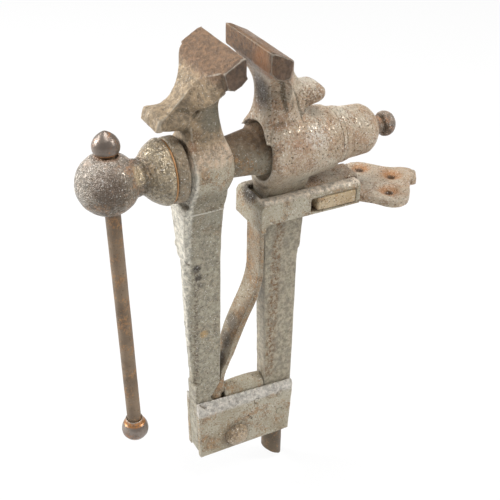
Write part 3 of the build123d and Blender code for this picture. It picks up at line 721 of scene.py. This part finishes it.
class Forge:
    """Gives a crisp mesh the soft edges, dents and stored wear of a forged piece."""

    WIDE_PASSES = 7
    WEAR_PASSES = 2
    WEAR_DEPTH = 0.16 * MM
    CORNER_PASSES = 6
    CORNER_DEPTH = 0.35 * MM
    CORNER_GAIN = 1.6

    @staticmethod
    def _gather(mesh: bpy.types.Mesh) -> tuple[np.ndarray, np.ndarray, np.ndarray]:
        """Read a mesh.

        Args:
            mesh: The mesh.

        Returns:
            Its points, edges and point normals as arrays, one row each.
        """
        count = len(mesh.vertices)
        points = np.empty(count * 3)
        mesh.vertices.foreach_get("co", points)
        normals = np.empty(count * 3)
        mesh.vertices.foreach_get("normal", normals)
        edges = np.empty(len(mesh.edges) * 2, np.int64)
        mesh.edges.foreach_get("vertices", edges)
        return points.reshape(-1, 3), edges.reshape(-1, 2), normals.reshape(-1, 3)

    @staticmethod
    def _spread(values: np.ndarray, edges: np.ndarray, passes: int) -> np.ndarray:
        """Average each point's values with its neighbours'.

        Args:
            values: One row a point.
            edges: Pairs of joined points.
            passes: How many times to average.

        Returns:
            The averaged values.
        """
        flat = values.reshape(len(values), -1)
        ends = np.concatenate([edges[:, 0], edges[:, 1]])
        others = np.concatenate([edges[:, 1], edges[:, 0]])
        degree = np.maximum(np.bincount(ends, minlength=len(flat)), 1)
        for _ in range(passes):
            sums = [np.bincount(ends, flat[others, k], len(flat)) for k in range(flat.shape[1])]
            flat = 0.5 * flat + 0.5 * np.stack(sums, 1) / degree[:, None]
        return flat.reshape(values.shape)

    @classmethod
    def work(cls, mesh: bpy.types.Mesh, name: str, surface: Surface) -> bpy.types.Mesh:
        """Remesh, round and dent a closed mesh.

        Args:
            mesh: The crisp shape, closed and merged.
            name: The piece's name.
            surface: How the piece is worked.

        Returns:
            A new mesh with a wear attribute.
        """
        blank = put_in_scene(name + "_blank", mesh)
        change = blank.modifiers.new("grain", "REMESH")
        change.mode = "VOXEL"
        change.voxel_size = surface.grain * MM
        change.adaptivity = 0.0
        graph = bpy.context.evaluated_depsgraph_get()
        worked = bpy.data.meshes.new_from_object(blank.evaluated_get(graph))
        bpy.data.objects.remove(blank)
        worked.name = name
        points, edges, normals = cls._gather(worked)
        points = cls._spread(points, edges, surface.rounding)
        far = cls._spread(points, edges, cls.WIDE_PASSES)
        wear = np.einsum("ij,ij->i", points - far, normals) / cls.WEAR_DEPTH
        wear = np.clip(cls._spread(wear[:, None], edges, cls.WEAR_PASSES)[:, 0], -1.0, 1.0)
        points = cls._reshape(points, edges, normals, surface)
        worked.vertices.foreach_set("co", points.ravel())
        stored = worked.attributes.new("wear", "FLOAT", "POINT")
        stored.data.foreach_set("value", wear.astype(np.float32))
        worked.polygons.foreach_set("use_smooth", [True] * len(worked.polygons))
        worked.update()
        return worked

    @classmethod
    def _reshape(cls, points: np.ndarray, edges: np.ndarray, normals: np.ndarray, surface: Surface) -> np.ndarray:
        """Fill inner corners, smooth and draw out regions, and add lines and dents.

        Args:
            points: One row a point.
            edges: Pairs of joined points.
            normals: The points' outward directions.
            surface: How the piece is worked.

        Returns:
            The moved points.
        """
        if surface.fillet:
            soft = cls._spread(points, edges, surface.fillet)
            sunk = np.einsum("ij,ij->i", points - soft, normals) / cls.CORNER_DEPTH
            share = cls._spread(np.clip(-sunk, 0.0, 1.0)[:, None], edges, cls.CORNER_PASSES)
            points = points + (soft - points) * np.clip(share * cls.CORNER_GAIN, 0.0, 1.0)
        for zone in surface.zones:
            share = np.clip(1.5 - np.sqrt(cls._away(points, zone)), 0.0, 0.5) * 2.0
            points = points + (cls._spread(points, edges, zone.passes) - points) * share[:, None]
        for pull in surface.pulls:
            share = np.clip(1.0 - cls._away(points, pull), 0.0, 1.0) ** 2
            points = points + np.array(pull.move) * MM * share[:, None]
        for bead in surface.beads:
            away = (points - np.array(bead.middle) * MM) @ np.array(bead.across)
            points = points + normals * (bead.height * MM * np.exp(-((away / (bead.half_width * MM)) ** 2)))[:, None]
        if surface.dents:
            size = surface.dent_size * MM
            pushes = [noise.noise(Vector(p) / size) for p in points]
            points = points - normals * ((0.5 + 0.5 * np.array(pushes)) * surface.dents * MM)[:, None]
        return points

    @staticmethod
    def _away(points: np.ndarray, region: Region) -> np.ndarray:
        """Measure how far points lie from a region's centre.

        Args:
            points: One row a point.
            region: The region.

        Returns:
            The squared distances, with 1 at the region's edge.
        """
        away = (points - np.array(region.middle) * MM) / (np.array(region.radii) * MM)
        return (away ** 2).sum(1)


@dataclass(frozen=True)
class Facing:
    """A jaw's facing plate that is forged into its leg without a seam.

    Args:
        node: The plate's node.
        tuck: How far its back goes into the leg along Y, in millimetres.
    """

    node: str
    tuck: float


@dataclass
class Piece:
    """One finished piece that stands for one node of the vise, or for a leg and its facing."""

    node: str
    body: Body
    finish: IronFinish
    surface: Surface = Surface()
    shift: Point = (0.0, 0.0, 0.0)
    lumps: tuple[Lump, ...] = ()
    facings: tuple[Facing, ...] = ()

    def shape(self) -> bpy.types.Mesh:
        """Copy the meshes of the nodes it stands for, merge them and add the lumps.

        Returns:
            The crisp mesh.
        """
        sheet = bmesh.new()
        sheet.from_mesh(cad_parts[self.node].data)
        bmesh.ops.remove_doubles(sheet, verts=sheet.verts, dist=MERGE)
        for facing in self.facings:
            known = len(sheet.verts)
            sheet.from_mesh(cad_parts[facing.node].data)
            plate = list(sheet.verts)[known:]
            middle = sum(v.co.y for v in plate) / len(plate)
            back = [v for v in plate if (v.co.y - middle) * facing.tuck > 0]
            bmesh.ops.translate(sheet, verts=back, vec=(0, facing.tuck * MM, 0))
            bmesh.ops.remove_doubles(sheet, verts=plate, dist=MERGE)
        for lump in self.lumps:
            ball = bmesh.ops.create_icosphere(sheet, subdivisions=3, radius=MM)
            bmesh.ops.scale(sheet, verts=ball["verts"], vec=lump.radii)
            bmesh.ops.translate(sheet, verts=ball["verts"], vec=Vector(lump.middle) * MM)
        made = bpy.data.meshes.new(self.node + "_shape")
        sheet.to_mesh(made)
        sheet.free()
        return made

    def make(self, effects: Effects) -> bpy.types.Object:
        """Build the piece, dress it and let it ride on its body.

        Args:
            effects: The shared node groups.

        Returns:
            The finished object.
        """
        shape = self.shape()
        mesh = Forge.work(shape, "worked_" + self.node, self.surface)
        bpy.data.meshes.remove(shape)
        made = put_in_scene("worked_" + self.node, mesh)
        mesh.materials.clear()
        mesh.materials.append(self.finish.material(self.node + "_finish", effects, self.shift))
        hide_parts(self.node, *(facing.node for facing in self.facings))
        self.attach(made)
        LOG.info("%s: %d faces, rides on %s", made.name, len(mesh.polygons), self.body.value)
        return made

    def attach(self, made: bpy.types.Object) -> None:
        """Let the piece ride on its body."""
        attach(made, self.body.value)


@dataclass
class BendingPiece(Piece):
    """A piece between the rear frame and the front leg that is left fixed in place."""

    start: Point = (0.0, -0.019, 0.160)
    end: Point = (0.0, -0.046, 0.070)

    def attach(self, made: bpy.types.Object) -> None:
        """Bake the piece's place into its mesh and leave it off every body."""
        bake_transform(made)


@dataclass(frozen=True)
class Finishes:
    """Every finish of the vise."""

    paint: IronFinish = IronFinish(
        "painted_iron", (180, 172, 152), (156, 144, 120), metal=0.2, rough_skin=0.42, dent_scale=110.0,
        rust_spread=0.45, specks=0.38,
    )
    rough_paint: IronFinish = IronFinish(
        "painted_iron", (214, 202, 182), (186, 164, 138), rust_spread=0.5, glints=0.5, specks=0.44,
        rust_dark=(136, 104, 76), rust_bright=(188, 150, 116), glint_share=0.8, pits=1.2, bump_depth=0.8,
        metal=0.4, rough_skin=0.32, rough_rust=0.55, dent_scale=90.0,
    )
    dark_iron: IronFinish = IronFinish(
        "dark_iron", (152, 140, 126), (100, 86, 74), rust_dark=(86, 66, 50), rust_bright=(176, 120, 70),
        edge=(196, 188, 174), rust_spread=0.5, rust_scale=120.0, specks=0.5, glints=0.5, glint_share=0.55,
        rough_skin=0.22, rough_rust=0.4, metal=0.5, pits=0.9, dent_scale=75.0, bump_depth=0.7,
    )
    knob_steel: IronFinish = IronFinish(
        "dark_iron", (150, 139, 130), (116, 105, 96), rust_dark=(88, 66, 50), rust_bright=(164, 110, 64),
        metal=0.55, rough_skin=0.3, rough_rust=0.36, specks=0.2, glints=0.15, glint_share=0.4, pits=0.1, dents=0.15,
        rust_spread=0.4, rust_scale=110.0, bump_depth=0.18,
    )
    bar_steel: IronFinish = IronFinish(
        "bar_steel", (128, 108, 86), (98, 81, 62), rust_dark=(96, 72, 50), rust_bright=(178, 130, 78),
        edge=(150, 130, 106), metal=0.2, rough_skin=0.42, rough_rust=0.6, specks=0.3, glints=0.15, glint_share=0.3,
        pits=0.35, dents=0.3, rust_spread=0.42, rust_scale=110.0, bump_depth=0.3,
    )
    spring: IronFinish = IronFinish("spring_steel", (170, 157, 134), (142, 126, 102))
    key: IronFinish = IronFinish(
        "key_iron", (204, 184, 150), (180, 156, 120), rust_bright=(186, 142, 90), rust_spread=0.4
    )
    inner: IronFinish = IronFinish("inner_steel", (118, 112, 106), (90, 84, 78), metal=0.5)


BROWN_TOP: Colour = (146, 114, 86)
GOLDEN: Colour = (166, 142, 104)
ORANGE: Colour = (176, 118, 62)
SOOT_AND_SHADE: Colour = (58, 50, 42)
# Dark soot for real marks, also laid as painted shade in recesses and screw holes.
DARK_BROWN: Colour = (110, 86, 67)
# Pale colour for the painted highlight on the weld line.
WELD_HIGHLIGHT: Colour = (214, 208, 196)
UP: Point = (0, 0, 1)
DOWN: Point = (0, 0, -1)
FRONT: Point = (0, -1, 0)
REAR: Point = (0, 1, 0)
RIGHT: Point = (1, 0, 0)
WELD_HEIGHT = 222.7
SCREW_HEIGHT = 253.5
RING_PLACES = (31.0, 33.4, 35.8)
PLATE_HOLES = ((-19.6, 79.8), (19.6, 79.8), (0.0, 95.2))


@dataclass
class Group:
    """Pieces of the vise that belong together.

    Args:
        finishes: Every finish of the vise.
    """

    finishes: Finishes

    def pieces(self) -> list[Piece]:
        """List the pieces, not yet made."""
        raise NotImplementedError

    def make(self, effects: Effects) -> None:
        """Make every piece.

        Args:
            effects: The shared node groups.
        """
        for piece in self.pieces():
            piece.make(effects)


@dataclass
class LegsAndJaws(Group):
    """The two legs with their jaws, the guard sleeve and the leaf spring."""

    leg: Surface = Surface(0.8, 4, 0.35, 11.0, fillet=150)

    def front_leg(self) -> Piece:
        """Front leg, brown on the jaw and golden on the chin, with a weld line under the boss.

        Returns:
            The leg with its facing.
        """
        finish = self.finishes.paint.stained(
            Wash((0, 0, 250), DOWN, 12.0, (150, 145, 126), 0.55),
            Wash((0, 0, 208), DOWN, 10.0, (200, 191, 168), 0.6),
            # Painted light: the front face is paler, as if lit from the front.
            Wash((0, -72, 0), FRONT, 3.0, (252, 245, 228), 0.9, 0.3),
            Wash((0, 0, 256), UP, 10.0, (240, 210, 180), 0.75),
            Wash((0, 0, 284), (0, -0.3, 1), 14.0, GOLDEN, 0.7, 0.2),
            Wash((0, -50, 309), (0, 0.35, 1), 10.0, BROWN_TOP, 0.95, 0.85),
            Wash((27, 0, 0), RIGHT, 4.0, DARK_BROWN, 0.9, 0.95),
            Spot((12.5, -58.0, 290.0), 13.0, (124, 120, 104), 0.75, 1.0),
            Spot((13.2, -70.6, 281.0), 5.0, (116, 90, 64), 0.7, 0.7),
            Spot((7.6, -68.8, 176.5), 4.4, SOOT_AND_SHADE, 0.95, 0.85),
            Spot((7.6, -67.8, 169.0), 4.2, SOOT_AND_SHADE, 0.85, 0.75),
            Spot((7.6, -66.8, 162.5), 3.4, SOOT_AND_SHADE, 0.6, 0.7),
            Spot((7.0, -77.0, 183.5), 2.4, SOOT_AND_SHADE, 0.8, 0.8),
            Spot((7.5, -64.0, 118.0), 4.5, (190, 152, 92), 0.7, 0.7),
            Spot((14.5, -75.0, 274.0), 6.0, (132, 92, 60), 0.7, 0.8),
            Band((0, -69.6, 115.0), REAR, 2.0, (92, 72, 52), 0.75, 0.45, (55.0, 178.0)),
            # Painted highlight along the weld line, over its raised bead.
            Band((0, 0, WELD_HEIGHT), UP, 0.9, WELD_HIGHLIGHT, 0.75),
        )
        zones = (Zone((0, -62, 283), (40, 22, 17), 60), Zone((0, -62, 262), (40, 14, 14), 30))
        surface = replace(
            self.leg, zones=zones, beads=(Bead((0, 0, WELD_HEIGHT), UP, 0.8, 0.45),),
            pulls=(Pull((0, -97, 296), (34, 12, 13), (0, 0, 3.0)),),
        )
        nub = Lump((-7.4, -76.6, 192.5), (2.4, 2.6, 3.4))
        throat = Lump((0.0, -80.0, 290.6), (12.4, 19.0, 9.0))
        facing = Facing("front_jaw_plate", -0.8)
        return Piece("front_leg", Body.SWINGING_LEG, finish, surface, (0.0, 0.27, 0.0), (nub, throat), (facing,))

    def rear_leg(self) -> Piece:
        """Rear leg with its eye barrel, brown on the jaw and dark with rust and painted shade under the mouth.

        Returns:
            The leg with its facing.
        """
        finish = self.finishes.rough_paint.stained(
            # Painted light that lifts the shade below the strap and clears the specks.
            Wash((0, 0, 226), DOWN, 10.0, (224, 212, 186), 0.8, 0.45),
            Wash((0, 0, 250), DOWN, 16.0, (184, 174, 150), 0.5, 0.6),
            Wash((0, 0, 308), UP, 12.0, (158, 120, 88), 0.9, 0.85),
            Wash((0, -23, 312), (0, -1, 0.4), 6.0, (158, 120, 84), 0.85, 0.9),
            Wash((28, 0, 300), RIGHT, 4.0, DARK_BROWN, 0.8, 0.95),
            Spot((19, -29, 322), 15.0, (182, 122, 70), 0.6, 0.9),
            # Painted shade cast by the front jaw, over rust on the neck's front face.
            Spot((2, -25, 297), 18.5, (76, 64, 50), 0.95, 1.0),
            Spot((13.9, -13.5, 279.5), 8.0, (164, 122, 90), 0.6, 0.6),
            Spot((24.6, -0.7, 262.7), 12.0, (168, 128, 98), 0.6, 0.6),
            # Painted highlight: a pale patch of glints on the barrel.
            Spot((21.0, 14.0, 266.0), 12.0, (228, 224, 216), 0.6, 0.5),
            # Soot with painted shade in the recess in front of the leg, above the strap.
            Spot((0, -28, 219), 19.0, SOOT_AND_SHADE, 0.9),
            Band((0, -10.0, 0), (0, 1, -0.027), 5.5, (126, 92, 54), 0.9, 0.45, (56.0, 205.0)),
        )
        zones = (Zone((0, -16, 283), (40, 20, 18), 80), Zone((0, 8, 283), (30, 26, 14), 60))
        rings = tuple(Bead((0, y, SCREW_HEIGHT), REAR, 0.5, 0.35) for y in RING_PLACES)
        pulls = (Pull((0, 22, 290), (30, 18, 16), (0, 1.5, 2.6)),)
        surface = replace(self.leg, zones=zones, beads=rings, pulls=pulls)
        facing = Facing("rear_jaw_plate", 0.8)
        return Piece("rear_leg", Body.REAR_FRAME, finish, surface, (0.31, 0.0, 0.0), (), (facing,))

    def pieces(self) -> list[Piece]:
        """List the pieces, not yet made."""
        # Painted shade: the sleeve's paint is darker than the legs', as if in shade.
        sleeve = replace(self.finishes.paint, skin=(147, 138, 119), skin_shade=(122, 111, 91)).stained(
            Wash((0, 0, 248), (0, 0.2, 1), 14.0, (128, 102, 74), 0.95, 0.8)
        )
        # Painted shadow of the front leg, with dark bare metal, on the spring's lower front face.
        spring = self.finishes.spring.stained(
            Spot((-2.0, -37.5, 116.0), 9.0, (98, 86, 70), 0.8, 1.0),
            Spot((-1.0, -42.5, 101.0), 9.5, (90, 78, 62), 0.85, 1.0),
            Spot((0.0, -47.5, 84.0), 9.5, (98, 84, 66), 0.8, 1.0),
        )
        toe = Lump((0.0, -52.4, 52.0), (6.6, 5.6, 5.2))
        return [
            self.rear_leg(),
            self.front_leg(),
            Piece("guard_sleeve", Body.SWINGING_LEG, sleeve, Surface(0.55, 3, 0.12)),
            BendingPiece("leaf_spring", Body.REAR_FRAME, spring, Surface(0.6, 4, 0.15), lumps=(toe,)),
        ]


@dataclass
class FootBox(Group):
    """Cheeks, filler, rivets and peg at the foot."""

    plate: Surface = Surface(0.65, 3, 0.2)

    def pieces(self) -> list[Piece]:
        """List the pieces, not yet made."""
        paint = self.finishes.paint
        rivet = self.finishes.rough_paint.stained(Wash((9.0, 0, 0), RIGHT, 5.0, (216, 192, 158), 0.7))
        scratch = [Spot((11.6, -26.6 + 1.4 * k, 26.2 - 2.0 * k), 1.3, (80, 64, 48), 1.0, 1.0) for k in (-1, 0, 1)]
        bevel = paint.stained(
            # Painted light on the cheeks' top bevel, as if lit from above.
            Wash((0, 0, 43), (0.3, 0, 1), 4.0, (240, 234, 224), 0.8, 0.2),
            # Painted contact shadow round the rivet's dome.
            Spot((11.0, -39.0, 12.0), 16.0, (104, 84, 62), 0.75, 0.9),
            *scratch,
        )
        peg = replace(self.finishes.bar_steel, slot="dark_iron", skin=(100, 84, 62), skin_shade=(80, 66, 48))
        dome = Lump((13.6, -38.5, 13.5), (4.9, 9.4, 9.4))
        filler = replace(self.plate, pulls=(Pull((0, -29, 58), (30, 34, 14), (0, 0, 3.5)),))
        body = Body.REAR_FRAME
        return [
            Piece("right_cheek", body, bevel, self.plate, (0.1, 0.2, 0.0)),
            Piece("left_cheek", body, bevel, self.plate, (0.3, 0.2, 0.1)),
            Piece("foot_spacer", body, paint, filler),
            Piece("pivot_rivet", body, rivet, Surface(0.45, 2, 0.7, 3.0), lumps=(dome,)),
            Piece("pivot_rove", body, paint, Surface(0.5, 3, 0.05)),
            Piece("cheek_rivets", body, bevel, Surface(0.35, 1, 0.0), (0.1, 0.2, 0.0)),
            Piece("foot_peg", body, peg, Surface(0.6, 4, 0.25)),
        ]


class BenchMount(Group):
    """Strap, key and bench plate."""

    def pieces(self) -> list[Piece]:
        """List the pieces, not yet made."""
        paint = self.finishes.paint
        rough = self.finishes.rough_paint
        holes = [Spot((x, y, 208.0), 10.5, ORANGE, 0.75) for x, y in PLATE_HOLES]
        # Painted shade inside the screw holes.
        holes += [Spot((x, y, 204.8), 5.0, SOOT_AND_SHADE, 1.0) for x, y in PLATE_HOLES]
        strap = paint.stained(
            # Painted light on the strap's top, lifting the shade under the barrel.
            Wash((0, 0, 219.5), UP, 2.5, (252, 236, 214), 1.0, 0.3),
            # Soot with painted shade where the strap meets the rear leg's front.
            Spot((-3.0, -19.0, 222.5), 15.0, SOOT_AND_SHADE, 0.95),
        )
        body = Body.REAR_FRAME
        return [
            Piece("mounting_strap", body, strap, Surface(0.6, 4, 0.2), (0.2, 0.0, 0.4)),
            Piece("strap_key", body, self.finishes.key, Surface(0.6, 24, 0.15)),
            Piece("bench_plate", body, rough.stained(*holes), Surface(0.55, 3, 0.2), (0.4, 0.1, 0.0)),
        ]


class ScrewGroup(Group):
    """Screw, washers, screw box and its knob."""

    def pieces(self) -> list[Piece]:
        """List the pieces, not yet made."""
        dark = self.finishes.dark_iron
        paint = self.finishes.paint
        rough = self.finishes.rough_paint
        bell = dark.stained(
            Wash((0, -108, 0), REAR, 9.0, (220, 202, 168), 0.75),
            Wash((0, 0, 246), (0, -0.2, -1), 16.0, (140, 132, 112), 0.4),
            # Painted highlight towards the upper left of the ball.
            Wash((0, -116, 256), (-0.35, -0.5, 0.6), 16.0, (224, 214, 200), 0.6),
            # Painted shade across the middle of the ball.
            Spot((17, -134, 262), 15.0, (104, 90, 78), 0.8, 1.0),
            Spot((19.5, -127.5, 256.5), 11.0, (84, 70, 58), 0.6, 0.8),
            Spot((9, -111, 259.5), 9.0, (206, 186, 152), 0.75, 0.9),
            Spot((0, -125.5, 274.6), 10.5, ORANGE, 0.85),
        )
        line = replace(self.finishes.bar_steel, skin=(190, 142, 92), skin_shade=(166, 120, 74), slot="dark_iron")
        washer = paint.stained(Wash((0, -200, 0), REAR, 10.0, (150, 130, 104), 0.7))
        groove = Bead((0, 79.6, SCREW_HEIGHT), REAR, 0.8, -0.7)
        pale = replace(dark, skin=(182, 168, 152))
        knob = pale.stained(Band(groove.middle, REAR, 1.2, (84, 68, 52), 0.9))
        return [
            Piece("screw", Body.MAIN_SCREW, bell, Surface(0.6, 4, 0.45, 5.0, fillet=30)),
            Piece("bell_washer", Body.THRUST_STACK, line, Surface(0.35, 1, 0.0)),
            Piece("thrust_washer", Body.THRUST_STACK, washer, Surface(0.6, 3, 0.1)),
            Piece("screw_box", Body.REAR_FRAME, rough, Surface(0.65, 4, 0.2), (0.5, 0.0, 0.1)),
            Piece("box_collar", Body.REAR_FRAME, rough, Surface(0.5, 3, 0.15)),
            Piece("box_end_knob", Body.REAR_FRAME, knob, Surface(0.4, 2, 0.3, 3.0, beads=(groove,))),
        ]


@dataclass
class Handle(Group):
    """Sliding bar with its two knobs."""

    line: Point = (0.0, -0.03141, 0.99951)

    def pieces(self) -> list[Piece]:
        """List the pieces, not yet made."""
        knob = self.finishes.knob_steel
        upper = knob.stained(Band((0, -125.6, 275.3), self.line, 1.6, ORANGE, 0.9))
        lower = knob.stained(Band((0, -118.6, 51.5), self.line, 2.6, ORANGE, 0.9))
        return [
            Piece("handle_bar", Body.HANDLE, self.finishes.bar_steel, Surface(0.6, 2, 0.15, 14.0)),
            Piece("handle_upper_knob", Body.HANDLE, upper, Surface(0.5, 14, 0.1)),
            Piece("handle_lower_knob", Body.HANDLE, lower, Surface(0.5, 3, 0.1), (0.1, 0.1, 0.1)),
        ]


@dataclass(frozen=True)
class Lamp:
    """A soft square lamp.

    Args:
        name: Its name.
        place: Where it hangs, in metres.
        size: Length of its sides, in metres.
        watts: Its power.
    """

    name: str
    place: Point
    size: float
    watts: float


@dataclass
class Studio:
    """Camera, pale floor, white surround and soft lamps."""

    azimuth: float = 61.9
    elevation: float = 32.4
    roll: float = 1.13
    lens: float = 68.4
    sensor: float = 36.0
    eye: Point = (0.5086, -0.2950, 0.5412)
    aim: Point = (0.0, 0.0, 0.18)
    floor_level: float = -0.0345
    floor_reach: float = 6.0
    paper: float = 0.9
    glow_share: float = 0.88
    surround: float = 0.36
    lamps: tuple[Lamp, ...] = (
        Lamp("left", (-0.75, -1.10, 0.80), 0.6, 24.0),
        Lamp("right", (0.55, 0.95, 1.10), 0.4, 11.5),
        Lamp("above", (0.10, 0.05, 1.55), 0.7, 14.0),
    )

    def camera(self) -> bpy.types.Object:
        """Place the camera at the photograph's viewpoint and make it the scene's.

        Returns:
            The camera.
        """
        turn, rise, roll = map(math.radians, (self.azimuth, self.elevation, self.roll))
        back = Vector((math.sin(turn) * math.cos(rise), -math.cos(turn) * math.cos(rise), math.sin(rise)))
        level = (-back).cross(Vector((0, 0, 1))).normalized()
        upright = level.cross(-back)
        right = math.cos(roll) * level + math.sin(roll) * upright
        up = -math.sin(roll) * level + math.cos(roll) * upright
        data = bpy.data.cameras.new("camera")
        data.lens = self.lens
        data.sensor_width = self.sensor
        data.sensor_fit = "HORIZONTAL"
        made = put_in_scene("camera", data)
        turned = Matrix((right, up, back)).transposed().to_4x4()
        made.matrix_world = Matrix.Translation(self.eye) @ turned
        bpy.context.scene.camera = made
        return made

    def floor(self) -> bpy.types.Object:
        """Lay a large pale floor that keeps the vise's shadow.

        Returns:
            The floor.
        """
        sheet = bmesh.new()
        bmesh.ops.create_grid(sheet, x_segments=1, y_segments=1, size=self.floor_reach)
        bmesh.ops.translate(sheet, verts=sheet.verts, vec=(0, 0, self.floor_level))
        mesh = bpy.data.meshes.new("floor")
        sheet.to_mesh(mesh)
        sheet.free()
        made = put_in_scene("floor", mesh)
        paper = bpy.data.materials.new("pale_paper")
        paper.use_nodes = True
        paper.node_tree.nodes.clear()
        nodes = NodeSheet(paper.node_tree)
        matt = nodes.add("ShaderNodeBsdfDiffuse")
        matt.inputs["Color"].default_value = (self.paper, self.paper, self.paper, 1)
        glow = nodes.add("ShaderNodeEmission")
        glow.inputs["Color"].default_value = (1, 1, 1, 1)
        glow.inputs["Strength"].default_value = 1.0
        path = nodes.add("ShaderNodeLightPath")
        seen = nodes.math("MAXIMUM", path.outputs["Is Camera Ray"], path.outputs["Is Glossy Ray"])
        seen = nodes.math("MAXIMUM", seen, path.outputs["Is Transmission Ray"])
        both = nodes.add("ShaderNodeMixShader")
        nodes.feed(both.inputs["Fac"], nodes.times(seen, self.glow_share))
        nodes.feed(both.inputs[1], matt.outputs[0])
        nodes.feed(both.inputs[2], glow.outputs[0])
        out = nodes.add("ShaderNodeOutputMaterial")
        nodes.feed(out.inputs["Surface"], both.outputs[0])
        mesh.materials.append(paper)
        return made

    def world(self) -> None:
        """Light the vise evenly all round and show white behind it."""
        made = bpy.data.worlds.new("surround")
        bpy.context.scene.world = made
        made.use_nodes = True
        made.node_tree.nodes.clear()
        nodes = NodeSheet(made.node_tree)
        back = nodes.add("ShaderNodeBackground")
        back.inputs["Color"].default_value = (1, 1, 1, 1)
        path = nodes.add("ShaderNodeLightPath")
        seen = nodes.math("MAXIMUM", path.outputs["Is Camera Ray"], path.outputs["Is Transmission Ray"])
        nodes.feed(back.inputs["Strength"], nodes.blend_values(seen, self.surround, 1.0))
        nodes.feed(nodes.add("ShaderNodeOutputWorld").inputs["Surface"], back.outputs[0])

    def hang(self, lamp: Lamp) -> bpy.types.Object:
        """Hang a lamp so that it faces the vise.

        Args:
            lamp: What to hang.

        Returns:
            The lamp.
        """
        data = bpy.data.lights.new(lamp.name, "AREA")
        data.size = lamp.size
        data.energy = lamp.watts
        made = put_in_scene(lamp.name, data)
        facing = (Vector(self.aim) - Vector(lamp.place)).to_track_quat("-Z", "Y")
        made.matrix_world = Matrix.Translation(lamp.place) @ facing.to_matrix().to_4x4()
        return made

    def build(self) -> None:
        """Set up the whole studio."""
        bpy.context.scene.view_settings.view_transform = "Standard"
        self.camera()
        self.floor()
        self.world()
        for lamp in self.lamps:
            self.hang(lamp)


def main() -> None:
    """Build the studio and every group of the vise."""
    logging.basicConfig(level=logging.INFO, format="%(message)s")
    Studio().build()
    effects = Effects()
    finishes = Finishes()
    for group in (LegsAndJaws, FootBox, BenchMount, ScrewGroup, Handle):
        group(finishes).make(effects)
    for hidden in ("box_key", "box_thread"):
        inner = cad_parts[hidden]
        inner.data.materials.clear()
        inner.data.materials.append(finishes.inner.material("inner_steel", effects))
        LOG.info("%s: dressed as it is", hidden)


if __name__ == "__main__":
    main()
